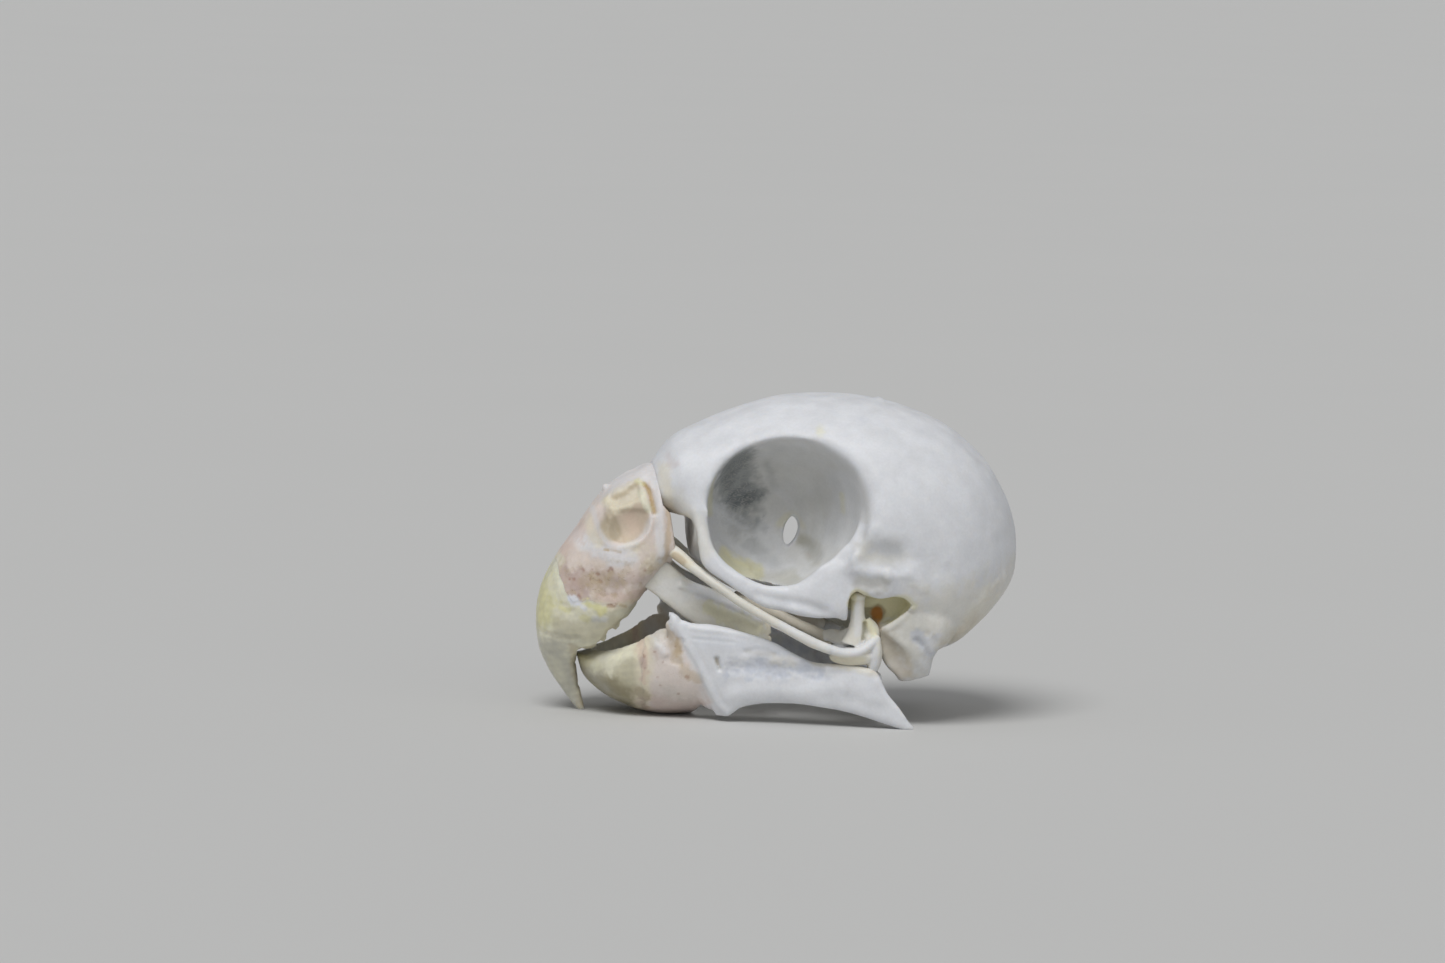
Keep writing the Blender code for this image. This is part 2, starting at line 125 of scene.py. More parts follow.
@dataclass(frozen=True)
class Section:
    """One section that stands across the skull.

    Attributes:
        top: x, z of its highest point.
        bottom: x, z of its lowest point.
        half: half its width.
        y: where its middle is.
    """

    top: Spot
    bottom: Spot
    half: float
    y: float = 0.0


@dataclass(frozen=True)
class Station:
    """One station of a bar of bone: its centre, half thickness and half height."""

    centre: Place
    thick: float
    high: float


@dataclass(frozen=True)
class Lump:
    """An ellipsoid, tilted about the Y axis by so many degrees."""

    centre: Place
    radii: Place
    tilt: float = 0.0


@dataclass(frozen=True)
class Mark:
    """A line drawn on both sides of the skull, as seen from the side.

    Attributes:
        points: the line, x and z.
        width: distance from the line at which the mark has faded out.
        soft: the share of the width over which it fades.
        ragged: how uneven its edge is.
        inner: it stays further from the skull's middle than this.
        outer: it stays nearer to the skull's middle than this.
        fade: mm over which these two limits fade.
    """

    points: tuple[Spot, ...]
    width: float
    soft: float = 1.0
    ragged: float = 0.0
    inner: float = 0.0
    outer: float = FAR
    fade: float = 0.5


@dataclass(frozen=True)
class Stroke(Mark):
    """A raised or sunken line.

    Attributes:
        lift: how far it stands out, or how deep it goes if negative.
        sideways: it leaves surfaces alone that face up, down or inwards.
    """

    lift: float = 0.0
    sideways: bool = True


@dataclass(frozen=True)
class Wash(Mark):
    """Colour laid along a line, for stains and for painted light and shade.

    Attributes:
        soft: as for any mark.
        ragged: as for any mark.
        colour: the colour it lays on.
        strength: how much of the colour shows at its middle.
    """

    soft: float = 0.7
    ragged: float = 0.3
    colour: Colour = (0.0, 0.0, 0.0)
    strength: float = 1.0


def stroke(
    lift: float,
    points: Sequence[Spot],
    width: float,
    *rest: float,
    sideways: bool = True,
    **limits: float,
) -> Stroke:
    """Makes a stroke: how far it is raised, then what any mark takes."""
    return Stroke(tuple(points), width, *rest, lift=lift, sideways=sideways, **limits)


def wash(
    colour: Colour,
    strength: float,
    points: Sequence[Spot],
    width: float,
    *rest: float,
    **limits: float,
) -> Wash:
    """Makes a wash: its colour and strength, then what any mark takes."""
    return Wash(tuple(points), width, *rest, colour=colour, strength=strength, **limits)


def curve_value(before: float, start: float, end: float, after: float, t: float) -> float:
    """A smooth curve's value from start to end, bent by the values on either side.

    Args:
        before: the value ahead of the stretch.
        start: the value at its start.
        end: the value at its end.
        after: the value behind it.
        t: how far along the stretch, from 0 to 1.

    Returns:
        The value there.
    """
    slope = (end - before) * t
    bend = (2 * before - 5 * start + 4 * end - after) * t**2
    twist = (3 * start - before - 3 * end + after) * t**3
    return start + (slope + bend + twist) / 2


def smooth_rows(rows: Sequence[Sequence[float]], between: int) -> list[list[float]]:
    """Adds a smooth curve's values between rows of numbers.

    Args:
        rows: the rows that the curve passes through.
        between: how many steps each gap is cut into.

    Returns:
        The longer list of rows.
    """
    made = []
    for i in range(len(rows) - 1):
        quartet = [rows[max(i - 1, 0)], rows[i], rows[i + 1], rows[min(i + 2, len(rows) - 1)]]
        for step in range(between):
            made.append([curve_value(*values, step / between) for values in zip(*quartet)])
    return made + [list(rows[-1])]


def squared(value: float, power: float) -> float:
    """A coordinate of the unit circle pushed towards a squarer outline."""
    return math.copysign(abs(value) ** power, value)


def loft(rings: Sequence[Matrix], around: int, fullness: float, belt: float) -> Form:
    """Bridges circles one after another and closes both ends.

    Args:
        rings: where each circle goes; its X runs across the bone and its Y, from 0 to 1, up it.
        around: points in each circle.
        fullness: 2 for an ellipse and more for a squarer outline.
        belt: how far up each circle is widest.

    Returns:
        The closed form.
    """
    form = bmesh.new()
    power = 2.0 / fullness
    for place in rings:
        circle = bmesh.ops.create_circle(form, segments=around, radius=1.0)["verts"]
        for vert in circle:
            along = squared(vert.co.y, power)
            vert.co.x = squared(vert.co.x, power)
            vert.co.y = belt + along * ((1 - belt) if along > 0 else belt)
        bmesh.ops.transform(form, matrix=place, verts=circle)
    form.edges.ensure_lookup_table()
    loops = [form.edges[i * around : (i + 1) * around] for i in range(len(rings))]
    for first, second in zip(loops, loops[1:]):
        bmesh.ops.bridge_loops(form, edges=first + second)
    for end in (loops[0], loops[-1]):
        bmesh.ops.contextual_create(form, geom=end)
    bmesh.ops.recalc_face_normals(form, faces=form.faces)
    return form


def axes_matrix(across: Vector, up: Vector, origin: Vector) -> Matrix:
    """Builds the matrix that places one circle of a loft.

    Args:
        across: where X goes.
        up: where Y goes.
        origin: where the circle's lowest point goes.

    Returns:
        The matrix.
    """
    made = Matrix.Identity(4)
    for column, axis in enumerate((across, up, across.cross(up).normalized(), origin)):
        for row in range(3):
            made[row][column] = axis[row]
    return made


def fan(
    sections: Sequence[Section],
    fullness: float = 2.0,
    belt: float = 0.5,
    around: int = 64,
    between: int = 8,
    side: Side = Side.RIGHT,
) -> Form:
    """Builds a form through upright sections.

    Args:
        sections: the sections in order.
        fullness: how square they are.
        belt: how far up each one is widest.
        around: points round each section.
        between: steps between two sections.
        side: the side of the skull that the sections' y is for.

    Returns:
        The closed form.
    """
    rows = [(*part.top, *part.bottom, part.half, part.y * side.value) for part in sections]
    rings = []
    for top_x, top_z, low_x, low_z, half, y in smooth_rows(rows, between):
        up = Vector((top_x - low_x, 0, top_z - low_z))
        rings.append(axes_matrix(Vector((0, half, 0)), up, Vector((low_x, y, low_z))))
    return loft(rings, around, fullness, belt)


def limb(
    path: Sequence[Station],
    fullness: float = 2.0,
    around: int = 40,
    between: int = 10,
    side: Side = Side.RIGHT,
) -> Form:
    """Sweeps a bar of bone along its path.

    Args:
        path: its stations in order.
        fullness: how square its section is.
        around: points round the section.
        between: steps between two stations.
        side: the side of the skull that the path's y is for.

    Returns:
        The closed form.
    """
    rows = [(x, y * side.value, z, part.thick, part.high) for part in path for x, y, z in [part.centre]]
    rows = smooth_rows(rows, between)
    centres = [Vector(row[:3]) for row in rows]
    rings = []
    for i, (*_, thick, high) in enumerate(rows):
        heading = (centres[min(i + 1, len(rows) - 1)] - centres[max(i - 1, 0)]).normalized()
        outward = Vector((0, 1, 0))
        outward = (outward - heading * outward.dot(heading)).normalized()
        upward = heading.cross(outward)
        rings.append(axes_matrix(outward * thick, upward * high * 2, centres[i] - upward * high))
    return loft(rings, around, fullness, 0.5)


def lump(shape: Lump, side: Side = Side.RIGHT) -> Form:
    """Builds an ellipsoid on one side of the skull.

    Args:
        shape: its centre, radii and tilt.
        side: the side of the skull that its y is for.

    Returns:
        The closed form.
    """
    form = bmesh.new()
    bmesh.ops.create_uvsphere(form, u_segments=LUMP_STEPS[0], v_segments=LUMP_STEPS[1], radius=1)
    x, y, z = shape.centre
    tilt = Matrix.Rotation(math.radians(shape.tilt), 4, "Y")
    place = Matrix.Translation((x, y * side.value, z)) @ tilt @ Matrix.Diagonal((*shape.radii, 1))
    bmesh.ops.transform(form, matrix=place, verts=form.verts)
    return form


def box(low: Place, high: Place, rounding: float, side: Side = Side.RIGHT) -> Form:
    """Builds a box between two corners, with rounded edges, on one side of the skull.

    Args:
        low: its corner nearest to the bill, the middle and the floor.
        high: the corner opposite.
        rounding: how far its edges are rounded.
        side: the side of the skull that the y's are for.

    Returns:
        The closed form.
    """
    form = bmesh.new()
    bmesh.ops.create_cube(form, size=1)
    size = [b - a for a, b in zip(low, high)]
    middle = [(a + b) / 2 for a, b in zip(low, high)]
    middle[1] *= side.value
    place = Matrix.Translation(middle) @ Matrix.Diagonal((*size, 1))
    bmesh.ops.transform(form, matrix=place, verts=form.verts)
    soften_edges(form, rounding, BOX_ROUNDING_STEPS)
    return form


def soften_edges(form: Form, rounding: float, segments: int) -> None:
    """Rounds every edge of a form.

    Args:
        form: the form.
        rounding: how far; 0 leaves it as it is.
        segments: the steps in each rounding.
    """
    if rounding:
        edges = list(form.edges)
        bmesh.ops.bevel(
            form,
            geom=edges,
            offset=rounding,
            segments=segments,
            profile=0.5,
            affect="EDGES",
            material=-1,
            clamp_overlap=True,
        )


def slab(outline: Sequence[Spot], low: float = -FAR, high: float = FAR, rounding: float = 0.0) -> Form:
    """Extrudes an outline in the side view across the skull.

    Args:
        outline: its corners, x and z.
        low: the y that it starts from.
        high: the y that it reaches.
        rounding: how far its edges are rounded.

    Returns:
        The closed form.
    """
    form = bmesh.new()
    face = form.faces.new([form.verts.new((x, low, z)) for x, z in outline])
    raised = bmesh.ops.extrude_face_region(form, geom=[face])["geom"]
    moved = [item for item in raised if isinstance(item, bmesh.types.BMVert)]
    bmesh.ops.translate(form, verts=moved, vec=(0, high - low, 0))
    bmesh.ops.recalc_face_normals(form, faces=form.faces)
    soften_edges(form, rounding, SLAB_ROUNDING_STEPS)
    return form


def side_slab(outline: Sequence[Spot], inner: float, outer: float, rounding: float, side: Side) -> Form:
    """A slab between two distances from the skull's middle, on one side of it."""
    low, high = sorted((inner * side.value, outer * side.value))
    return slab(outline, low, high, rounding)


def mirrored(form: Form) -> Form:
    """Mirrors a form across the skull's middle.

    Args:
        form: the form, which stays as it is.

    Returns:
        The mirror image.
    """
    made = form.copy()
    bmesh.ops.scale(made, vec=(1, -1, 1), verts=made.verts)
    bmesh.ops.reverse_faces(made, faces=made.faces)
    return made


def working_object(name: str, forms: Iterable[Form]) -> bpy.types.Object:
    """Makes one helper object that holds these forms.

    Args:
        name: the object's name.
        forms: the forms, which are freed.

    Returns:
        The object.
    """
    mesh = bpy.data.meshes.new(name)
    whole = bmesh.new()
    for form in forms:
        form.to_mesh(mesh)
        whole.from_mesh(mesh)
        form.free()
    whole.to_mesh(mesh)
    whole.free()
    made = bpy.data.objects.new(name, mesh)
    bpy.context.scene.collection.objects.link(made)
    return made


def baked(thing: bpy.types.Object) -> Form:
    """Applies a helper object's modifiers.

    Args:
        thing: the helper object, which is removed.

    Returns:
        The form.
    """
    bpy.context.view_layer.update()
    evaluated = thing.evaluated_get(bpy.context.evaluated_depsgraph_get())
    form = bmesh.new()
    form.from_mesh(bpy.data.meshes.new_from_object(evaluated))
    bpy.data.objects.remove(thing)
    return form


def carved(form: Form, cutters: Iterable[Form]) -> Form:
    """Takes every cutter out of a form.

    Args:
        form: what is carved; it is freed.
        cutters: what is taken out of it; they are freed.

    Returns:
        The carved form.
    """
    body = working_object("carving", [form])
    tools = [working_object("cutter", [cutter]) for cutter in cutters]
    for tool in tools:
        cut = body.modifiers.new("Cut", "BOOLEAN")
        cut.operation = "DIFFERENCE"
        cut.object = tool
    made = baked(body)
    for tool in tools:
        bpy.data.objects.remove(tool)
    return made


def fused(forms: Iterable[Form], grain: float, passes: int) -> Form:
    """Grows overlapping forms together into one bone.

    Args:
        forms: the overlapping forms.
        grain: the size of the new surface's faces.
        passes: how many times its edges are softened.

    Returns:
        One closed form.
    """
    body = working_object("fusing", forms)
    remesh = body.modifiers.new("Fuse", "REMESH")
    remesh.mode = "VOXEL"
    remesh.voxel_size = grain
    soften = body.modifiers.new("Soften", "SMOOTH")
    soften.factor = ROUNDING_STRENGTH
    soften.iterations = passes
    return baked(body)


def drop_crumbs(form: Form) -> None:
    """Deletes the loose crumbs that carving leaves beside the largest connected part.

    Args:
        form: the form, which is changed.
    """
    left = set(form.verts)
    parts = []
    while left:
        part = {left.pop()}
        front = set(part)
        while front:
            front = {edge.other_vert(vert) for vert in front for edge in vert.link_edges} & left
            left -= front
            part |= front
        parts.append(part)
    largest = max(parts, key=len)
    bmesh.ops.delete(form, geom=[vert for vert in form.verts if vert not in largest], context="VERTS")


class Surface:
    """A bone's surface, ready for strokes, stains and painted light and shade."""

    def __init__(self, form: Form, ground: Colour) -> None:
        """Takes the form over.

        Args:
            form: the fused bone, which is freed.
            ground: the colour that everything starts as.
        """
        self.mesh = bpy.data.meshes.new("surface")
        drop_crumbs(form)
        form.to_mesh(self.mesh)
        form.free()
        count = len(self.mesh.vertices)
        self.points = np.empty((count, 3))
        self.mesh.vertices.foreach_get("co", self.points.ravel())
        self.wobble = self.cloud(COARSE_WOBBLE) + self.cloud(FINE_WOBBLE) / 2
        self.tint = np.tile(np.array(ground), (count, 1))
        self.pores = np.zeros(count)
        self.grain = np.zeros(count)

    def cloud(self, size: float) -> np.ndarray:
        """Smooth noise about 0 at each point, with features of this size."""
        return np.array([noise.fractal(Vector(at) / size, 1.0, 2.0, 3) for at in self.points])

    def form(self) -> Form:
        """Copies the surface.

        Returns:
            The copy.
        """
        made = bmesh.new()
        made.from_mesh(self.mesh)
        return made

    def normals(self) -> np.ndarray:
        """Reads the surface's outward directions.

        Returns:
            One direction for each point.
        """
        made = np.empty((len(self.points), 3), dtype=np.float32)
        self.mesh.vertex_normals.foreach_get("vector", made.ravel())
        return made

    def settle(self) -> None:
        """Puts the moved points back into the mesh."""
        self.mesh.vertices.foreach_set("co", self.points.astype(np.float32).ravel())
        self.mesh.update()

    def distance(self, line: Sequence[Spot]) -> np.ndarray:
        """Measures how far each point is from a line in the side view.

        Args:
            line: the line, x and z.

        Returns:
            The distances in mm.
        """
        here = self.points[:, [0, 2]]
        nearest = np.full(len(here), np.inf)
        if len(line) > 2:
            line = smooth_rows(line, 3)
        starts = line[:-1] or line
        for start, end in zip(starts, line[1:] or line):
            a, b = np.array(start), np.array(end)
            run = b - a
            length = max(float(run @ run), 1e-12)
            share = np.clip((here - a) @ run / length, 0, 1)
            nearest = np.minimum(nearest, np.linalg.norm(here - a - share[:, None] * run, axis=1))
        return nearest

    def reach(self, mark: Mark) -> np.ndarray:
        """Works out how much of a mark reaches each point.

        Args:
            mark: the mark.

        Returns:
            The shares, from 0 to 1.
        """
        far = self.distance(mark.points) + self.wobble * mark.ragged * mark.width
        share = np.clip((1 - far / mark.width) / mark.soft, 0, 1)
        out = np.abs(self.points[:, 1])
        if mark.inner:
            share = share * np.clip((out - mark.inner) / mark.fade + 1, 0, 1)
        share = share * np.clip((mark.outer - out) / mark.fade + 1, 0, 1)
        return share * share * (3 - 2 * share)

    def shape(self, strokes: Iterable[Stroke], where: np.ndarray | float = 1.0) -> None:
        """Raises and sinks the surface along strokes.

        Args:
            strokes: the strokes in order.
            where: 0 to 1 for each point, how far it may move.
        """
        for mark in strokes:
            normals = self.normals()
            amount = self.reach(mark) * where * mark.lift
            if mark.sideways:
                amount = amount * np.clip(normals[:, 1] * np.sign(self.points[:, 1]) * 3, 0, 1)
            self.points += normals * amount[:, None]
            self.settle()

    def weather(self, size: float, depth: float) -> None:
        """Makes the whole surface slightly uneven."""
        self.points += self.normals() * (self.cloud(size) * depth)[:, None]
        self.settle()

    def stain_and_shade(self, washes: Iterable[Wash], where: np.ndarray | float = 1.0) -> None:
        """Lays washes over each other.

        Args:
            washes: the washes in order.
            where: 0 to 1 for each point, how far it takes them.
        """
        for mark in washes:
            share = self.reach(mark) * mark.strength * where
            self.tint += (np.array(mark.colour) - self.tint) * share[:, None]

    def speckle(
        self, spots: Iterable[Spot], size: float, colour: Colour, strength: float, inner: float = 0.0
    ) -> None:
        """Dabs small uneven spots on.

        Args:
            spots: where they are, x and z.
            size: how big the smallest one is.
            colour: their colour.
            strength: how much of it shows.
            inner: they stay further from the skull's middle than this.
        """
        for i, (x, z) in enumerate(spots):
            width = size * (1 + 0.35 * (i % 3))
            turn = 1 - i % 3
            dab = ((x, z), (x + width / 2, z + turn * width / 2))
            self.stain_and_shade([wash(colour, strength, dab, width, 0.9, 0.9, inner)])

    def relax(self, chosen: np.ndarray, passes: int) -> None:
        """Evens out the chosen points.

        Args:
            chosen: true for each point that moves.
            passes: how many times.
        """
        form = self.form()
        form.verts.ensure_lookup_table()
        verts = [form.verts[i] for i in np.flatnonzero(chosen)]
        for _ in range(passes):
            bmesh.ops.smooth_vert(
                form,
                verts=verts,
                factor=ROUNDING_STRENGTH,
                use_axis_x=True,
                use_axis_y=True,
                use_axis_z=True,
            )
        form.to_mesh(self.mesh)
        form.free()
        self.mesh.vertices.foreach_get("co", self.points.ravel())

    def piece(self, name: str, node: str, material: bpy.types.Material) -> None:
        """Rests the bone on the surface, in metres, and puts it in the scene.

        Args:
            name: the piece's name.
            node: the plain solid it stands for.
            material: its finish.
        """
        posed = self.points @ np.array(REST.to_3x3()).T + np.array(REST_SHIFT)
        posed[:, 2] = np.maximum(posed[:, 2], 0)
        self.points = posed * MM
        self.settle()
        tint = self.mesh.color_attributes.new("tint", "FLOAT_COLOR", "POINT")
        rgba = np.concatenate([self.tint, np.ones((len(self.tint), 1))], axis=1)
        tint.data.foreach_set("color", rgba.astype(np.float32).ravel())
        for label, values in (("pores", self.pores), ("grain", self.grain)):
            layer = self.mesh.attributes.new(label, "FLOAT", "POINT")
            layer.data.foreach_set("value", values.astype(np.float32))
        self.mesh.shade_smooth()
        self.mesh.set_sharp_from_angle(angle=math.radians(CUT_ANGLE))
        self.mesh.materials.append(material)
        self.mesh.name = name
        made = bpy.data.objects.new(name, self.mesh)
        bpy.context.scene.collection.objects.link(made)
        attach(made, "root")
        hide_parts(node)
        log.info("%s: %d faces, stands for %s", name, len(self.mesh.polygons), node)


@dataclass(frozen=True)
class BoneFinish:
    """Dry bone: its stains and painted light and shade come with the surface, and its grain and pores from
    here.

    Attributes:
        name: the material's name.
        roughness: smoothest and roughest.
        mottle: how uneven the colour is.
        blotches: how much of the blotch colour shows where the bone is porous.
        blotch_colour: the colour of larger uneven patches.
        glow: how much light gets under the surface.
        glow_colour: how far each of its colours gets.
        sheen: how strong the reflections are.
        pore_colour: what the pores show.
        pore_strength: how much of it shows.
        pores_per_mm: how many pores there are to a millimetre.
        line_strength: how much shows of the lines between the eyes.
        bump: how strong the fine grain is.
        bump_depth: how deep it is, in mm.
    """

    name: str
    roughness: tuple[float, float] = (0.42, 0.56)
    mottle: float = 0.07
    blotches: float = 0.0
    blotch_colour: Colour = TAN
    glow: float = 0.2
    glow_colour: Colour = (1.0, 0.8, 0.6)
    sheen: float = 0.4
    pore_colour: Colour = RED_BROWN
    pore_strength: float = 0.16
    pores_per_mm: float = 7.5
    line_strength: float = 0.32
    bump: float = 0.35
    bump_depth: float = 0.05

    def material(self) -> bpy.types.Material:
        """Builds the material.

        Returns:
            The material.
        """
        made, shader, here = new_material(self.name)
        spot = here.millimetres()
        cloud = here.noise(spot, 0.9, 4)
        patches = here.noise(spot, 2.2, 5)
        fine = here.noise(spot, 7.0, 3)
        porous = here.attribute("pores", "Fac")

        shade = here.ranged(cloud, 0.3, 0.7, 1 - self.mottle, 1 + self.mottle / 2)
        shade = here.maths("MULTIPLY", shade, here.ranged(fine, 0.3, 0.7, 0.97, 1.02))
        colour = here.scaled(here.attribute("tint", "Color"), shade)
        blotched = here.maths("MULTIPLY", here.ranged(patches, 0.48, 0.66, 0.0, self.blotches), porous)
        colour = here.mixed(colour, self.blotch_colour, blotched)
        holes = here.maths("MULTIPLY", here.pits(spot, self.pores_per_mm, patches), porous)
        colour = here.mixed(colour, self.pore_colour, here.maths("MULTIPLY", holes, self.pore_strength))
        marks = here.maths("MULTIPLY", here.squiggles(spot), here.attribute("grain", "Fac"))
        colour = here.mixed(colour, GREY_BONE_AND_SHADE, here.maths("MULTIPLY", marks, self.line_strength))
        here.join(colour, shader.inputs["Base Color"])

        height = here.maths("MULTIPLY", fine, 0.25)
        height = here.maths("SUBTRACT", height, holes)
        height = here.maths("ADD", height, here.maths("MULTIPLY", marks, 0.5))
        here.join(here.bumped(height, self.bump, self.bump_depth * MM), shader.inputs["Normal"])
        here.join(here.ranged(cloud, 0.35, 0.65, *self.roughness), shader.inputs["Roughness"])
        here.settings(shader, self.glow, self.glow_colour, self.sheen)
        return made


@dataclass(frozen=True)
class HornFinish:
    """Worn keratin: faint growth layers over the stains and painted shade that come with the surface.

    Attributes:
        name: the material's name.
        roughness: smoothest and roughest.
        layers: how closely the growth layers follow each other.
        glow: how much light gets under the surface.
        glow_colour: how far each of its colours gets.
        sheen: how strong the reflections are.
        bump: how strong the fine grain is.
        bump_depth: how deep it is, in mm.
    """

    name: str
    roughness: tuple[float, float] = (0.3, 0.48)
    layers: float = 0.9
    glow: float = 0.3
    glow_colour: Colour = (1.0, 0.85, 0.5)
    sheen: float = 0.45
    bump: float = 0.3
    bump_depth: float = 0.04

    def material(self) -> bpy.types.Material:
        """Builds the material.

        Returns:
            The material.
        """
        made, shader, here = new_material(self.name)
        spot = here.millimetres()
        cloud = here.noise(spot, 1.1, 4)
        patches = here.noise(spot, 2.4, 5)
        fine = here.noise(spot, 9.0, 3)
        bands = here.growth_layers(spot, self.layers)
        shade = here.ranged(cloud, 0.3, 0.7, 0.9, 1.06)
        shade = here.maths("MULTIPLY", shade, here.ranged(patches, 0.35, 0.65, 0.95, 1.04))
        shade = here.maths("MULTIPLY", shade, here.ranged(bands, 0.0, 1.0, 0.975, 1.015))
        colour = here.scaled(here.attribute("tint", "Color"), shade)
        here.join(colour, shader.inputs["Base Color"])
        height = here.maths("ADD", here.maths("MULTIPLY", fine, 0.25), here.maths("MULTIPLY", bands, 0.12))
        here.join(here.bumped(height, self.bump, self.bump_depth * MM), shader.inputs["Normal"])
        here.join(here.ranged(cloud, 0.35, 0.65, *self.roughness), shader.inputs["Roughness"])
        here.settings(shader, self.glow, self.glow_colour, self.sheen)
        return made


def new_material(name: str) -> tuple[bpy.types.Material, bpy.types.Node, Wires]:
    """Starts a material.

    Args:
        name: its name.

    Returns:
        The material, its shader and what its nodes are laid out with.
    """
    made = bpy.data.materials.new(name)
    made.use_nodes = True
    return made, made.node_tree.nodes["Principled BSDF"], Wires(made.node_tree)


class Wires:
    """Lays out a material's nodes."""

    def __init__(self, tree: bpy.types.NodeTree) -> None:
        """Works in this node tree."""
        self.tree = tree

    def join(self, source: object, target: object) -> None:
        """Links an output, or sets a plain value.

        Args:
            source: an output, a colour, three numbers or one.
            target: the input it goes to.
        """
        if isinstance(source, bpy.types.NodeSocket):
            self.tree.links.new(source, target)
        elif target.type == "RGBA":
            target.default_value = (*source, 1.0)
        else:
            target.default_value = source

    def node(self, kind: str, inputs: dict[str | int, object], **settings: object) -> bpy.types.Node:
        """Adds one node.

        Args:
            kind: what node it is.
            inputs: what goes into each of its inputs.
            settings: its other settings.

        Returns:
            The node.
        """
        made = self.tree.nodes.new(f"ShaderNode{kind}")
        for label, value in settings.items():
            setattr(made, label, value)
        for label, value in inputs.items():
            self.join(value, made.inputs[label])
        return made

    def settings(self, shader: bpy.types.Node, glow: float, colour: Colour, sheen: float) -> None:
        """Sets what is the same all over a surface.

        Args:
            shader: the material's shader.
            glow: how much light gets under the surface.
            colour: how far each of its colours gets.
            sheen: how strong the reflections are.
        """
        shader.inputs["Subsurface Weight"].default_value = glow
        shader.inputs["Subsurface Radius"].default_value = colour
        shader.inputs["Subsurface Scale"].default_value = GLOW_DEPTH * MM
        shader.inputs["Specular IOR Level"].default_value = sheen

    def millimetres(self) -> bpy.types.NodeSocket:
        """Reads the point's own position in mm."""
        return self.turned(self.node("TexCoord", {}).outputs["Object"], (0, 0, 0), (1 / MM, 1 / MM, 1 / MM))

    def turned(self, spot: object, angles: Place, stretch: Place) -> bpy.types.NodeSocket:
        """Turns and stretches a position.

        Args:
            spot: the position.
            angles: degrees about each axis.
            stretch: the scale along each axis.

        Returns:
            The new position.
        """
        turns = tuple(math.radians(angle) for angle in angles)
        return self.node("Mapping", {"Vector": spot, "Rotation": turns, "Scale": stretch}).outputs["Vector"]

    def attribute(self, name: str, output: str) -> bpy.types.NodeSocket:
        """Reads a value or colour that comes with the surface.

        Args:
            name: the attribute's name.
            output: which of its outputs is read.

        Returns:
            The value or colour.
        """
        return self.node("Attribute", {}, attribute_name=name).outputs[output]

    def noise(self, spot: object, scale: float, detail: float) -> bpy.types.NodeSocket:
        """Adds cloudy noise from 0 to 1.

        Args:
            spot: the position.
            scale: features to a millimetre.
            detail: how fine it gets.

        Returns:
            The noise.
        """
        return self.node("TexNoise", {"Vector": spot, "Scale": scale, "Detail": detail}).outputs["Fac"]

    def pits(self, spot: object, scale: float, patchy: object) -> bpy.types.NodeSocket:
        """Adds round pits where the patchy noise is high.

        Args:
            spot: the position.
            scale: pits to a millimetre.
            patchy: the noise that gathers them.

        Returns:
            1 in a pit and 0 outside.
        """
        dots = self.node("TexVoronoi", {"Vector": spot, "Scale": scale}).outputs["Distance"]
        dots = self.ranged(dots, 0.1, 0.3, 1.0, 0.0)
        return self.maths("MULTIPLY", dots, self.ranged(patchy, 0.46, 0.58, 0.0, 1.0))

    def squiggles(self, spot: object) -> bpy.types.NodeSocket:
        """Adds the thin wandering lines on the wall between the eyes.

        Args:
            spot: the position.

        Returns:
            1 on a line and 0 beside it.
        """
        hills = self.noise(self.turned(spot, (0, 14, 0), (0.6, 0.6, 1.6)), 2.1, 1.6)
        contours = self.maths("PINGPONG", self.maths("MULTIPLY", hills, 8.0), 0.5)
        return self.ranged(contours, 0.26, 0.46, 0.0, 1.0)

    def growth_layers(self, spot: object, scale: float) -> bpy.types.NodeSocket:
        """Adds the faint wavy bands that follow the horn's growth.

        Args:
            spot: the position.
            scale: how closely they follow each other.

        Returns:
            The bands, from 0 to 1.
        """
        across = self.turned(spot, (0, 28, 0), (0.35, 0.35, 1.0))
        inputs = {"Vector": across, "Scale": scale, "Distortion": 3.0, "Detail": 3.0, "Detail Scale": 1.6}
        return self.node("TexWave", inputs, bands_direction="Z").outputs["Fac"]

    def maths(self, operation: str, first: object, second: object) -> bpy.types.NodeSocket:
        """Adds one sum.

        Args:
            operation: the node's operation.
            first: its first value.
            second: its second value.

        Returns:
            The result.
        """
        return self.node("Math", {0: first, 1: second}, operation=operation).outputs["Value"]

    def ranged(
        self, value: object, low: float, high: float, start: float, end: float
    ) -> bpy.types.NodeSocket:
        """Brings a value from one range into another.

        Args:
            value: the value.
            low: what becomes start.
            high: what becomes end.
            start: the lower result.
            end: the upper result.

        Returns:
            The result.
        """
        inputs = {"Value": value, "From Min": low, "From Max": high, "To Min": start, "To Max": end}
        return self.node("MapRange", inputs).outputs["Result"]

    def scaled(self, colour: object, amount: object) -> bpy.types.NodeSocket:
        """Makes a colour lighter or darker.

        Args:
            colour: the colour.
            amount: what it is multiplied by.

        Returns:
            The new colour.
        """
        inputs = {"Vector": colour, "Scale": amount}
        return self.node("VectorMath", inputs, operation="SCALE").outputs["Vector"]

    def mixed(self, first: object, second: object, share: object) -> bpy.types.NodeSocket:
        """Mixes two colours.

        Args:
            first: the colour at 0.
            second: the colour at 1.
            share: from 0 to 1.

        Returns:
            The mixture.
        """
        return self.node("Mix", {0: share, 6: first, 7: second}, data_type="RGBA").outputs[2]

    def bumped(self, height: object, strength: float, distance: float) -> bpy.types.NodeSocket:
        """Bends the surface's direction by a height.

        Args:
            height: the height.
            strength: how much of it counts.
            distance: metres that a height of 1 stands for.

        Returns:
            The direction.
        """
        inputs = {"Strength": strength, "Distance": distance, "Height": height}
        return self.node("Bump", inputs).outputs["Normal"]


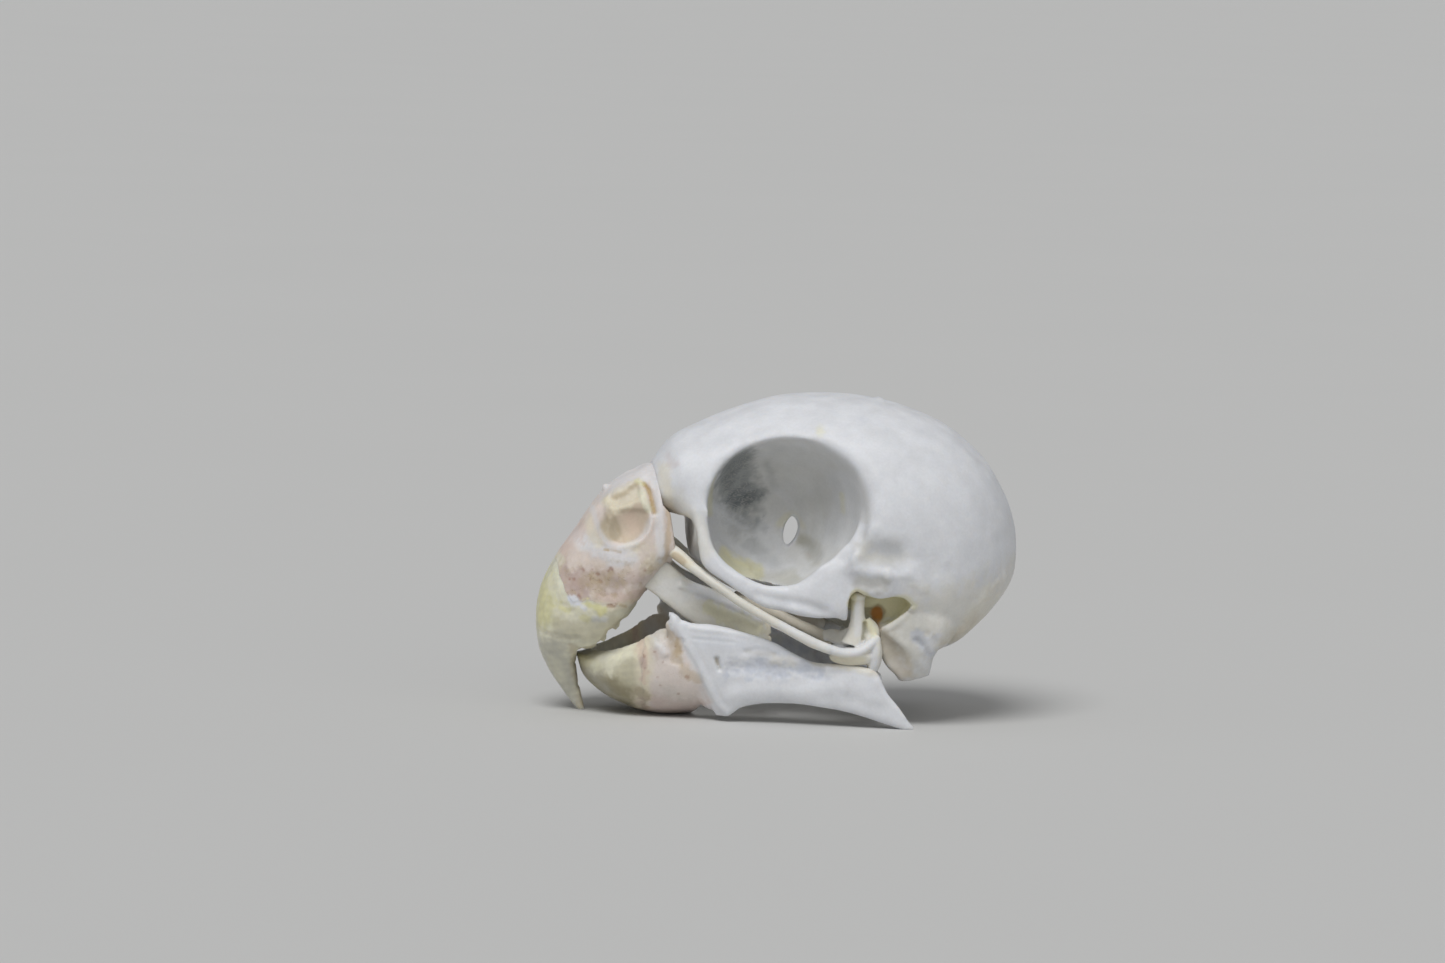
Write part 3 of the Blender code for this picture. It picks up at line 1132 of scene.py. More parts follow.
@dataclass
class Cranium:
    """Braincase, forehead, eye sockets and the bars round them."""

    grain: float = 0.127
    passes: int = 5
    fullness: float = 2.35
    belt: float = 0.42
    orbit_radius: float = 4.05
    orbit_mouth: Vector = field(default_factory=lambda: Vector((0.1, 5.6, 11.55)))
    orbit_floor: Vector = field(default_factory=lambda: Vector((-0.9, 0.32, 10.4)))
    sections: tuple[Section, ...] = (
        Section((-6.85, 13.6), (-6.3, 11.2), 3.2),
        Section((-5.7, 15.05), (-5.5, 10.6), 4.15),
        Section((-4.0, 15.95), (-4.5, 8.45), 4.9),
        Section((-2.0, 16.72), (-2.2, 7.5), 5.3),
        Section((0.2, 17.28), (-0.2, 6.9), 6.1),
        Section((2.4, 17.42), (2.0, 5.5), 7.0),
        Section((4.8, 17.24), (4.5, 4.3), 7.55),
        Section((7.2, 16.65), (7.0, 3.7), 7.45),
        Section((9.4, 15.6), (9.2, 3.6), 6.75),
        Section((11.2, 14.0), (11.0, 4.9), 5.3),
        Section((12.35, 12.2), (12.2, 6.2), 3.6),
        Section((12.95, 10.5), (12.9, 7.4), 1.9),
        Section((13.1, 9.3), (13.1, 8.7), 0.4),
    )
    # The socket's bowl: (share of its depth, share of its radius).
    bowl: tuple[Spot, ...] = (
        (-0.9, 1.06), (0.0, 1.0), (0.2, 0.985), (0.4, 0.94), (0.6, 0.87), (0.75, 0.79),
        (0.88, 0.67), (0.96, 0.54), (1.0, 0.42),
    )
    arch: tuple[Station, ...] = (
        Station((-4.6, 4.35, 11.5), 0.5, 0.4),
        Station((-4.35, 4.7, 10.45), 0.4, 0.32),
        Station((-4.15, 4.9, 9.55), 0.4, 0.42),
        Station((-3.85, 5.05, 8.8), 0.42, 0.52),
        Station((-3.0, 5.35, 8.1), 0.4, 0.45),
        Station((-1.9, 5.75, 7.38), 0.4, 0.48),
        Station((-0.9, 6.0, 6.95), 0.42, 0.62),
        Station((0.0, 6.2, 6.88), 0.45, 0.72),
        Station((0.9, 6.4, 6.85), 0.48, 0.95),
        Station((1.7, 6.55, 7.0), 0.5, 1.2),
        Station((2.6, 6.6, 7.3), 0.5, 1.6),
        Station((3.2, 6.55, 7.4), 0.48, 1.7),
        Station((3.7, 6.4, 7.7), 0.4, 1.6),
    )
    # Closes the socket's lower rear corner, where its rim is sharp.
    temple: tuple[Station, ...] = (
        Station((0.7, 6.1, 7.1), 0.42, 0.42),
        Station((1.6, 6.3, 7.82), 0.45, 0.45),
        Station((2.3, 6.4, 8.3), 0.48, 0.46),
        Station((3.0, 6.4, 8.85), 0.5, 0.46),
        Station((3.6, 6.35, 9.5), 0.5, 0.46),
        Station((4.1, 6.25, 10.15), 0.5, 0.46),
        Station((4.4, 5.9, 10.9), 0.5, 0.4),
        Station((4.55, 5.6, 11.6), 0.4, 0.3),
    )
    temple_rim: tuple[Spot, ...] = (
        (0.4, 7.55), (1.3, 8.15), (1.9, 8.55), (2.6, 9.1), (3.2, 9.7), (3.65, 10.3), (3.85, 10.9),
    )
    septum_edge: tuple[Spot, ...] = (
        (-3.9, 3.0), (-3.9, 8.0), (-3.3, 7.95), (-2.2, 7.25), (-1.0, 6.9), (0.2, 6.8), (1.9, 6.8),
        (1.9, 3.0),
    )
    floor_opening: tuple[Spot, ...] = (
        (-3.9, 3.0), (-3.9, 8.35), (-3.0, 8.15), (-1.8, 7.35), (-0.6, 7.0), (1.0, 6.9), (1.9, 6.85),
        (1.9, 3.0),
    )
    rostrum: tuple[Station, ...] = (
        Station((-4.6, 0, 8.9), 0.4, 0.35),
        Station((-1.0, 0, 7.4), 0.5, 0.4),
        Station((2.4, 0, 5.6), 0.7, 0.6),
    )
    wing: tuple[Station, ...] = (
        Station((7.1, 5.6, 6.8), 0.9, 1.7),
        Station((6.95, 5.6, 5.4), 1.0, 1.85),
        Station((6.8, 5.4, 3.9), 0.85, 1.6),
        Station((7.0, 5.3, 2.85), 0.55, 1.05),
        Station((7.1, 5.25, 2.35), 0.35, 0.85),
    )
    wing_root: Lump = Lump((7.7, 4.9, 5.4), (1.7, 1.7, 1.7))
    neck_knob: Lump = Lump((8.9, 0, 3.8), (0.5, 0.5, 0.4))
    neck_opening: Lump = Lump((10.6, 0, 4.5), (1.35, 1.5, 1.9), -38)
    wing_front: tuple[Station, ...] = (
        Station((4.9, 7.0, 5.0), 1.0, 0.5),
        Station((5.5, 7.0, 4.1), 1.2, 0.85),
        Station((6.0, 7.0, 3.2), 1.3, 1.0),
        Station((6.3, 7.0, 2.0), 1.4, 1.1),
    )
    ear_outline: tuple[Spot, ...] = (
        (3.3, 4.0), (3.35, 6.7), (3.55, 7.15), (3.9, 7.3), (4.25, 7.05), (5.1, 6.85), (5.7, 7.0),
        (6.3, 6.95), (6.85, 6.45), (6.6, 6.1), (6.0, 5.7), (5.35, 5.25), (5.0, 4.9), (4.9, 4.0),
    )
    hinge_line: tuple[Spot, ...] = ((-6.75, 20), (-6.75, 13.6), (-6.4, 11.7), (-6.0, 11.0), (-6.0, 0))
    optic_outline: tuple[Spot, ...] = (
        (0.6, 9.05), (0.42, 9.35), (0.38, 9.75), (0.5, 10.3), (0.9, 10.8), (1.17, 10.4),
        (1.23, 10.0), (1.1, 9.6), (0.85, 9.25),
    )
    septum_half: float = 0.42
    optic_half: float = 1.2
    floor_inner: float = 2.7
    cheek_space: Lump = Lump((2.3, 4.6, 4.4), (2.9, 2.0, 2.1))
    ear_notch: Lump = Lump((4.7, 8.1, 7.95), (0.95, 0.8, 0.55))
    ear_pit: Lump = Lump((5.1, 5.3, 5.95), (0.42, 0.8, 0.45))
    ear_inner: float = 5.3
    ear_rounding: float = 0.12
    quadrate_space: tuple[Place, Place, float] = ((3.3, 4.4, 1.0), (5.05, 9.0, 6.2), 0.4)
    lacrimal_space: tuple[Place, Place, float] = ((-7.5, -9.0, 6.5), (-4.75, 9.0, 11.1), 0.5)
    outside: float = 9.0
    rim_inner: float = 3.8
    # Where the wall between the eyes shows thin lines, and where the rear wing is porous.
    thin_patch: Mark = Mark(((-1.9, 13.8), (-2.1, 12.0), (-2.2, 10.6)), 1.6, 0.6, 0.2)
    porous_patch: Mark = Mark(((7.2, 4.6), (8.2, 5.0)), 1.2, 0.8)
    # How the socket's rim is rounded: how far from it, from and to which angle, and how many times.
    rim_rounding: tuple[tuple[float, float, float, int], ...] = (
        (0.45, -180, 180, 4),
        (0.7, -30, 205, 20),
        (1.1, -8, 70, 60),
        (0.8, 120, 205, 30),
    )

    def orbit_bowl(self, side: Side) -> Form:
        """Builds the eye socket's space, from outside its mouth down to its floor.

        Args:
            side: the side of the skull.

        Returns:
            The closed form.
        """
        rings = []
        for depth, share in self.bowl:
            centre = self.orbit_mouth.lerp(self.orbit_floor, depth)
            centre.y *= side.value
            radius = self.orbit_radius * share
            up = Vector((0, 0, 2 * radius))
            rings.append(axes_matrix(Vector((radius, 0, 0)), up, centre - up / 2))
        return loft(rings, 96, 2.0, 0.5)

    def cutters(self, side: Side) -> list[Form]:
        """Builds everything that is hollowed out of one side of the braincase.

        Args:
            side: the side of the skull.

        Returns:
            The forms.
        """
        return [
            self.orbit_bowl(side),
            side_slab(self.septum_edge, self.septum_half, self.outside, 0, side),
            side_slab(self.floor_opening, self.floor_inner, self.outside, 0, side),
            lump(self.cheek_space, side),
            lump(self.ear_notch, side),
            *self.ear_spaces(side),
        ]

    def ear_spaces(self, side: Side) -> list[Form]:
        """Builds the space round the quadrate and the ear opening behind it.

        Args:
            side: the side of the skull.

        Returns:
            The forms.
        """
        return [
            side_slab(self.ear_outline, self.ear_inner, self.outside, self.ear_rounding, side),
            box(*self.quadrate_space, side),
            lump(self.ear_pit, side),
        ]

    def fuse(self) -> Form:
        """Grows the cranium together.

        Returns:
            The whole cranium.
        """
        head = fan(self.sections, self.fullness, self.belt, around=120, between=12)
        middle = [
            box(*self.lacrimal_space),
            slab(self.optic_outline, -self.optic_half, self.optic_half),
            lump(self.neck_opening),
        ]
        sides = [cutter for side in Side for cutter in self.cutters(side)]
        pieces = [carved(head, middle + sides)]
        for side in Side:
            front = limb(self.wing_front, side=side)
            pieces.append(carved(limb(self.wing, 2.6, side=side), [*self.ear_spaces(side), front]))
            pieces.append(lump(self.wing_root, side))
            ear = side_slab(self.ear_outline, self.ear_inner, self.outside, 0, side)
            pieces += [carved(limb(self.arch, 2.4, side=side), [ear]), limb(self.temple, side=side)]
        pieces += [lump(self.neck_knob), limb(self.rostrum)]
        before_hinge = slab([(x + SEAM, z) for x, z in self.hinge_line] + [(-FAR, 0), (-FAR, 20)])
        return carved(fused(pieces, self.grain, self.passes), [before_hinge])

    def in_socket(self, surface: Surface) -> np.ndarray:
        """Finds the eye sockets.

        Args:
            surface: the cranium's surface.

        Returns:
            1 on their walls, fading to 0 outside them.
        """
        out = np.abs(surface.points[:, 1])
        span = self.orbit_mouth.y - self.orbit_floor.y
        depth = np.clip((self.orbit_mouth.y - out) / span, -0.9, 1)
        shares = np.array(self.bowl)
        radius = self.orbit_radius * np.interp(depth, shares[:, 0], shares[:, 1])
        middle_x = self.orbit_mouth.x + (self.orbit_floor.x - self.orbit_mouth.x) * depth
        middle_z = self.orbit_mouth.z + (self.orbit_floor.z - self.orbit_mouth.z) * depth
        away = np.hypot(surface.points[:, 0] - middle_x, surface.points[:, 2] - middle_z)
        rim = surface.reach(Mark(self.temple_rim, 1.3, 0.3, inner=5.6))
        below = surface.points[:, 2] < np.interp(surface.points[:, 0], *np.array(self.temple_rim).T) + 0.05
        return np.clip((radius + 0.12 - away) / 0.15, 0, 1) * (1 - rim * below)

    def round_rim(self, surface: Surface) -> None:
        """Rounds the socket's rim off, least at the bottom, where it is sharp.

        Args:
            surface: the cranium's surface.
        """
        across = surface.points[:, 0] - self.orbit_mouth.x
        up = surface.points[:, 2] - self.orbit_mouth.z
        turn = np.degrees(np.arctan2(up, across))
        from_rim = np.abs(np.hypot(across, up) - self.orbit_radius)
        outside = np.abs(surface.points[:, 1]) > self.rim_inner
        for reach, low, high, passes in self.rim_rounding:
            near = (from_rim < reach) & (turn > low) & (turn < high) & outside
            surface.relax(near, passes)
        surface.relax(surface.reach(Mark(self.temple_rim, 0.45, inner=5.0)) > 0.1, 8)

    def build(self, finish: BoneFinish) -> None:
        """Makes the piece.

        Args:
            finish: the bone it is dressed in.
        """
        surface = Surface(self.fuse(), WHITE_BONE)
        self.round_rim(surface)
        surface.weather(1.6, 0.025)
        socket = self.in_socket(surface)
        surface.shape(self.outer_strokes(), 1 - socket)
        surface.shape(self.socket_strokes(), socket)
        surface.stain_and_shade(self.outer_washes(), 1 - socket)
        surface.stain_and_shade(self.socket_washes(), socket)
        surface.grain = surface.reach(self.thin_patch) * socket
        surface.pores = surface.reach(self.porous_patch) * 0.5 * (1 - socket)
        surface.piece("cranium_bone", "cranium", finish.material())

    def outer_strokes(self) -> list[Stroke]:
        """Lists what is raised and sunk on the outside.

        Returns:
            The strokes in order.
        """
        return [
            stroke(-0.3, ((4.7, 9.4), (5.3, 9.3), (5.9, 9.3)), 1.3, inner=5.5),
            stroke(0.05, self.temple_rim, 0.3, 0.8, inner=5.5),
            stroke(0.09, ((3.85, 9.9), (3.65, 9.3), (3.7, 8.6)), 0.4, inner=5.5),
            stroke(0.05, ((-3.7, 9.2), (-3.2, 8.4), (-2.2, 7.9), (-0.5, 7.55)), 0.25, inner=5.0),
            stroke(-0.12, ((-1.5, 7.1), (-0.5, 6.85), (0.5, 6.7), (1.4, 6.5), (2.1, 6.2)), 0.45, inner=5.2),
            stroke(0.06, ((0.4, 6.35), (1.4, 6.0), (2.4, 5.75)), 0.35, inner=5.2),
            stroke(-0.13, ((4.1, 7.75), (4.7, 7.6), (5.2, 7.7)), 0.65, ragged=0.3, inner=5.5),
            stroke(0.07, ((3.7, 8.4), (4.5, 8.45), (5.4, 8.25)), 0.42, ragged=0.4, inner=5.5),
            stroke(0.09, ((5.5, 8.25), (5.6, 8.0), (5.65, 7.3)), 0.36, ragged=0.4, inner=5.5),
            stroke(0.08, ((5.6, 8.2), (6.2, 8.3), (6.9, 8.0), (7.3, 7.4)), 0.4, ragged=0.6, inner=5.5),
            stroke(0.08, ((4.1, 7.4), (4.5, 7.25), (5.0, 7.35)), 0.3, inner=5.5),
            stroke(-0.06, ((3.1, 9.0), (3.5, 8.1), (3.4, 7.2)), 0.5, inner=5.5),
            stroke(0.12, ((6.8, 6.35), (6.2, 5.7), (5.6, 5.3), (5.1, 5.15)), 0.24, 0.8, inner=5.3),
            stroke(0.06, ((5.6, 5.0), (6.1, 4.6), (6.6, 4.2), (7.1, 3.6), (7.5, 3.1)), 0.35, inner=4.0),
            stroke(-0.16, ((7.1, 4.6), (7.4, 4.25)), 0.24, inner=4.0),
            stroke(-0.12, ((7.65, 4.05), (7.8, 3.8)), 0.2, inner=4.0),
            stroke(-0.07, ((7.6, 5.0), (7.7, 4.9)), 0.2, inner=4.0),
            stroke(-0.08, ((8.1, 4.7), (8.2, 4.4)), 0.2, inner=4.0),
            stroke(0.06, ((7.1, 5.3),), 0.2, inner=4.0),
            stroke(-0.15, ((8.3, 3.9), (8.25, 3.2)), 0.4, inner=4.0),
            stroke(0.11, ((12.1, 7.7), (11.4, 6.9), (10.6, 6.3), (10.1, 5.4), (9.5, 4.6)), 0.5, ragged=0.5),
            stroke(-0.07, ((-6.15, 14.5), (-5.9, 13.7), (-6.1, 12.7)), 0.55, inner=2.8, fade=1.5),
            stroke(0.04, ((-4.3, 15.3), (-2.7, 16.1), (-1.0, 16.6), (1.0, 16.9)), 0.4),
            stroke(0.1, ((5.7, 17.1),), 0.35, sideways=False, outer=1.0),
            stroke(-0.05, ((7.3, 8.9), (8.6, 8.3)), 0.9, ragged=0.5, inner=5.0),
        ]

    def socket_strokes(self) -> list[Stroke]:
        """Lists what is raised and sunk inside the eye sockets.

        Returns:
            The strokes in order.
        """
        return [
            stroke(0.12, ((-3.4, 9.5), (-2.4, 8.65), (-1.6, 8.0)), 0.3),
            stroke(-0.22, ((1.35, 9.2), (1.8, 8.8)), 0.8),
            stroke(0.05, ((-0.9, 13.9), (-0.7, 12.6), (-0.6, 11.3)), 0.35, ragged=0.4),
            stroke(0.06, ((-2.6, 11.0), (-1.6, 10.0)), 0.9),
        ]

    def outer_washes(self) -> list[Wash]:
        """Lists the stains and painted shade on the outside.

        Returns:
            The washes in order.
        """
        return [
            wash(WARM_BONE, 0.7, ((4.0, 4.0), (7.5, 5.5), (10.5, 6.0)), 2.8),
            wash(CREAM, 0.3, ((9.5, 4.5), (11.8, 6.6), (12.8, 8.0)), 1.2),
            wash(WARM_BONE, 0.6, ((-6.0, 12.0), (-5.0, 11.0), (-4.5, 9.5)), 1.0),
            # Painted shade in the hollow behind the socket: grey, and bluish where it is deepest.
            wash(GREY_BONE_AND_SHADE, 0.8, ((4.5, 9.5), (5.6, 9.4)), 1.2, 0.9, inner=5.5),
            wash(BLUISH, 0.5, ((4.9, 9.8), (5.7, 9.6)), 0.8, 1.0, 0.6, inner=5.5),
            # Painted shade in the hollow under the ridge above the ear.
            wash(GREY_BONE_AND_SHADE, 0.55, ((4.0, 7.7), (5.2, 7.6)), 0.6, inner=5.5),
            wash(GREY_BONE_AND_SHADE, 0.4, ((7.0, 5.2), (8.3, 4.6)), 1.2, ragged=0.8),
            wash(GREY_BONE_AND_SHADE, 0.5, ((6.4, 4.0), (7.3, 3.4), (7.6, 2.6)), 1.0, ragged=0.6),
            # Painted shade along the underside of the neck.
            wash(TAN, 0.3, ((8.6, 4.2), (9.6, 4.6), (10.4, 5.4)), 0.7, 0.9),
            wash(BLUISH, 0.7, ((7.1, 4.6), (7.8, 3.9)), 0.45, ragged=1.0),
            wash(WHITE_BONE, 0.8, ((7.9, 4.2), (8.2, 4.9)), 0.4, ragged=1.2),
            wash(WHITE_BONE, 0.6, ((7.4, 3.5), (7.7, 3.0)), 0.35, ragged=1.2),
            wash(OLIVE, 0.9, ((3.8, 6.7), (5.3, 6.2), (6.3, 6.4)), 0.95, 0.4, outer=6.2),
            wash(TAN, 0.45, ((5.3, 4.6), (5.9, 3.6), (6.3, 2.9)), 0.9, outer=6.2),
            # Painted shade deep in the space behind the quadrate.
            wash(OLIVE_SHADE, 0.6, ((3.4, 5.0), (4.2, 3.5)), 1.6, outer=5.4),
            wash(OLIVE, 0.7, ((3.4, 6.6), (3.6, 7.15), (3.9, 7.3), (4.5, 6.95)), 0.2, inner=5.2),
            wash(PALE_YELLOW, 0.5, ((6.0, 6.95), (6.4, 6.9), (6.9, 6.45)), 0.3, inner=5.2),
            wash(RUST, 0.95, ((5.12, 5.95), (5.15, 5.78)), 0.36, 0.5, 0.3, outer=6.3),
            wash(RUST, 0.6, ((5.05, 5.5), (5.05, 5.3)), 0.22, 0.8, 0.5, outer=6.3),
            wash(PALE_YELLOW, 0.4, ((2.0, 15.8),), 0.4),
            # Painted shade in the dent at the back of the braincase, so that it reads as an opening.
            wash(BROWN_SHADE, 0.75, ((9.2, 5.3), (9.9, 5.9), (10.8, 6.2)), 1.0, 0.7, outer=1.5),
            wash(CREAM, 0.5, ((-6.3, 13.6), (-6.2, 12.4), (-6.0, 11.3)), 0.45),
            wash(DUSKY_PINK, 0.25, ((-6.3, 14.6), (-5.9, 13.9)), 0.35, 1.0, 0.8, 2.8, fade=1.5),
            wash(CREAM, 0.5, ((-6.3, 11.1), (-5.2, 11.1)), 0.35),
        ]

    def socket_washes(self) -> list[Wash]:
        """Lists the stains, painted shade and painted light inside the eye sockets.

        Returns:
            The washes in order.
        """
        return [
            # Greyer all over the sockets: the walls' own grey tone, with painted shade of the bowl.
            wash(GREY_BONE_AND_SHADE, 0.5, ((0.0, 11.0),), 6.0, 0.5, 0.1),
            # Painted light: the rear wall of each socket made lighter.
            wash(WHITE_BONE, 0.6, ((3.2, 13.0), (3.6, 11.5), (3.0, 9.9)), 0.9),
            wash(PALE_YELLOW, 0.35, ((3.3, 12.2), (3.4, 11.2)), 0.2),
            wash(WHITE_BONE, 0.7, ((-3.0, 10.8), (-1.9, 9.7), (-0.6, 8.6)), 1.8, ragged=0.4),
            wash(SLATE, 0.85, ((-2.3, 14.1), (-2.25, 13.1), (-1.8, 12.0)), 1.5, 0.7, 0.25),
            wash(SLATE, 0.5, ((-3.0, 12.9), (-2.5, 11.6), (-1.8, 10.5)), 1.3, 0.9, 0.4),
            wash(SLATE, 0.4, ((-1.4, 11.9), (-1.0, 11.0)), 0.6, 0.9, 0.6),
            wash(SLATE, 0.25, ((-2.9, 11.4), (-1.6, 10.9)), 0.5, 0.9, 0.9),
            wash(WHITE_BONE, 0.7, ((-3.2, 11.2), (-2.6, 10.6), (-1.8, 10.1)), 0.35, 1.0, 1.2),
            wash(WHITE_BONE, 0.6, ((-2.4, 11.0), (-1.7, 10.5)), 0.25, 1.0, 1.2),
            wash(SLATE, 0.2, ((-0.6, 13.7), (-0.3, 13.1), (-0.2, 12.4)), 0.5, 1.0, 0.5),
            wash(PALE_YELLOW, 0.5, ((-3.75, 13.3), (-3.8, 12.0), (-3.7, 11.0)), 0.28),
            wash(PALE_YELLOW, 0.85, ((-2.9, 8.7), (-2.0, 8.0), (-1.1, 7.7)), 0.6, 0.6),
            wash(SLATE, 0.2, ((-1.4, 9.2), (-0.2, 8.3)), 0.6),
            # Painted shadow on the slope below and behind the optic opening.
            wash(OLIVE_SHADE, 0.4, ((1.3, 9.4), (1.9, 9.2), (1.8, 8.6)), 0.55, 0.9, 0.3),
            wash(DUSKY_PINK, 0.35, ((1.7, 8.7),), 0.3, 0.9, 0.4),
            wash(OLIVE, 0.35, ((0.2, 10.3), (0.9, 10.9), (1.4, 10.2)), 0.3, 0.9),
            # Painted shade along the socket floor above the lower rim, where the floor bone is thin and
            # darker.
            wash(OLIVE_SHADE, 0.45, ((-1.1, 7.5), (0.0, 7.5), (0.9, 7.6)), 0.5, 1.0),
        ]


@dataclass
class UpperBill:
    """The upper bill: porous bone with the nostrils, and the horn round its front."""

    grain: float = 0.075
    passes: int = 6
    fullness: float = 2.6
    belt: float = 0.3
    sections: tuple[Section, ...] = (
        Section((-6.3, 13.4), (-5.5, 7.9), 3.85),
        Section((-6.8, 13.55), (-6.05, 8.1), 3.95),
        Section((-8.3, 13.05), (-6.95, 7.05), 4.05),
        Section((-9.75, 11.8), (-7.65, 6.05), 3.98),
        Section((-10.9, 10.15), (-8.35, 4.95), 3.65),
        Section((-11.95, 8.7), (-9.1, 4.1), 3.3),
        Section((-12.8, 7.05), (-9.95, 3.65), 2.9),
        Section((-13.1, 5.2), (-10.6, 3.55), 2.4),
        Section((-12.9, 3.5), (-10.95, 3.1), 1.65),
        Section((-12.2, 2.05), (-10.85, 2.05), 1.0),
        Section((-11.35, 0.85), (-10.65, 0.95), 0.5),
        Section((-10.7, 0.0), (-10.45, 0.05), 0.25),
    )
    hinge_line: tuple[Spot, ...] = (
        (-6.75, 20), (-6.75, 13.6), (-6.4, 11.7), (-5.8, 11.0), (-5.75, 9.6), (-6.0, 8.0),
        (-6.0, 0),
    )
    sheath_edge: tuple[Spot, ...] = (
        (-12.7, 8.9), (-12.15, 8.75), (-11.97, 8.35), (-11.92, 7.8), (-11.72, 7.35), (-11.62, 6.95),
        (-11.38, 6.62), (-11.22, 6.4), (-10.98, 6.5), (-10.75, 6.42), (-10.5, 6.56), (-10.2, 6.5),
        (-9.92, 6.33), (-9.6, 6.3), (-9.32, 6.36), (-9.0, 6.2), (-8.6, 6.26), (-8.3, 6.15),
        (-8.0, 6.33), (-7.6, 6.5), (-7.3, 6.9),
    )
    nostril_bowl: Lump = Lump((-8.5, 3.95, 11.0), (1.48, 0.85, 1.42))
    palate_hollow: Lump = Lump((-8.2, 0, 4.4), (2.6, 1.9, 1.5), -40)
    nostril_roof: Mark = Mark(((-9.3, 11.8), (-7.2, 12.1)), 1.4)
    porous_band: Mark = Mark(((-11.4, 7.4), (-9.5, 7.4), (-7.4, 8.0)), 1.9, 0.8, 0.3)
    # The worn cutting edge, from the hook back to the bone.
    cutting_edge: tuple[Spot, ...] = (
        (-11.0, 3.2), (-10.95, 3.68), (-10.7, 3.82), (-10.45, 3.68), (-10.15, 3.77), (-9.96, 3.87),
        (-9.92, 4.12), (-9.72, 4.28), (-9.54, 4.17), (-9.41, 4.35), (-9.42, 4.64), (-9.33, 4.86),
        (-9.1, 4.97), (-8.9, 4.85), (-8.71, 5.05), (-8.68, 5.33), (-8.53, 5.48), (-8.26, 5.56),
        (-8.07, 5.78), (-7.92, 5.98), (-7.78, 6.15), (-7.72, 6.41), (-7.5, 6.6), (-7.0, 6.4),
        (-7.0, 3.2),
    )
    nostril_rim: tuple[Spot, ...] = (
        (-10.05, 11.3), (-9.85, 10.4), (-9.4, 9.75), (-8.7, 9.45), (-8.0, 9.65), (-7.4, 10.2),
        (-7.0, 11.1),
    )
    specks: tuple[Spot, ...] = (
        (-11.4, 7.6), (-11.2, 7.65), (-10.7, 8.2), (-10.2, 8.2), (-9.9, 8.0), (-9.2, 8.3),
        (-9.35, 8.15), (-8.0, 7.9), (-9.8, 7.6), (-10.3, 7.7), (-9.2, 6.35), (-9.0, 6.4),
        (-8.8, 7.8), (-7.4, 8.2), (-10.9, 6.75), (-8.3, 8.3),
    )

    def shell(self) -> Form:
        """Builds bone and horn as one plain form, with the nostrils and the palate hollowed out.

        Returns:
            One closed form.
        """
        hollows = [lump(self.palate_hollow)]
        hollows += [lump(self.nostril_bowl, side) for side in Side]
        return carved(fan(self.sections, self.fullness, self.belt, around=96, between=8), hollows)

    def below_edge(self) -> Form:
        """The space below the line where bone meets horn."""
        line = self.sheath_edge
        return slab([*line, (FAR, line[-1][1]), (FAR, -FAR), (-FAR, -FAR), (-FAR, line[0][1])])

    def above_edge(self) -> Form:
        """The space above that line, a hair's breadth away from the bone."""
        line = [(x - SEAM, z - SEAM) for x, z in self.sheath_edge]
        return slab([*line, (FAR, line[-1][1]), (FAR, FAR), (-FAR, FAR), (-FAR, line[0][1])])

    def build(self, bone: BoneFinish, horn: HornFinish) -> None:
        """Makes both pieces.

        Args:
            bone: what the bill's bone is dressed in.
            horn: what its sheath is dressed in.
        """
        whole = Surface(fused([self.shell()], self.grain, self.passes), PINK_BONE)
        whole.weather(1.2, 0.03)
        whole.shape(self.strokes())
        whole.relax(whole.reach(self.nostril_roof) > 0.1, 2)
        behind_hinge = slab([*self.hinge_line, (FAR, 0), (FAR, 20)])
        worn = slab(self.cutting_edge)
        self.dress_bone(Surface(carved(whole.form(), [self.below_edge(), behind_hinge]), PINK_BONE), bone)
        self.dress_horn(Surface(carved(whole.form(), [self.above_edge(), worn]), HORN_IVORY), horn)

    def border_washes(self) -> list[Wash]:
        """Lists the stains that run across the line between bone and horn.

        Returns:
            The washes in order.
        """
        return [
            wash(HORN_IVORY, 0.8, ((-12.6, 8.9), (-12.0, 8.55)), 0.5, 0.9, 0.6),
            wash(CREAM, 0.8, ((-10.0, 6.35), (-8.8, 6.2), (-7.6, 6.45)), 0.35, 0.9, 0.6),
            wash(WHITE_BONE, 0.95, ((-11.25, 6.45), (-10.9, 6.3), (-10.6, 6.1)), 0.28, 0.6, 0.9),
            wash(HORN_YELLOW, 0.9, ((-10.5, 6.35), (-10.0, 6.15), (-9.75, 5.95)), 0.34, 0.8, 0.9),
            wash(RED_BROWN, 0.6, ((-9.35, 6.3), (-9.05, 6.25)), 0.13, 0.9, 0.7),
            wash(OCHRE, 0.4, ((-8.7, 6.3), (-8.4, 6.2)), 0.1, 0.9, 0.7),
            wash(ROSE, 0.4, ((-7.9, 6.5), (-7.5, 6.7)), 0.3, 0.9, 0.7),
        ]

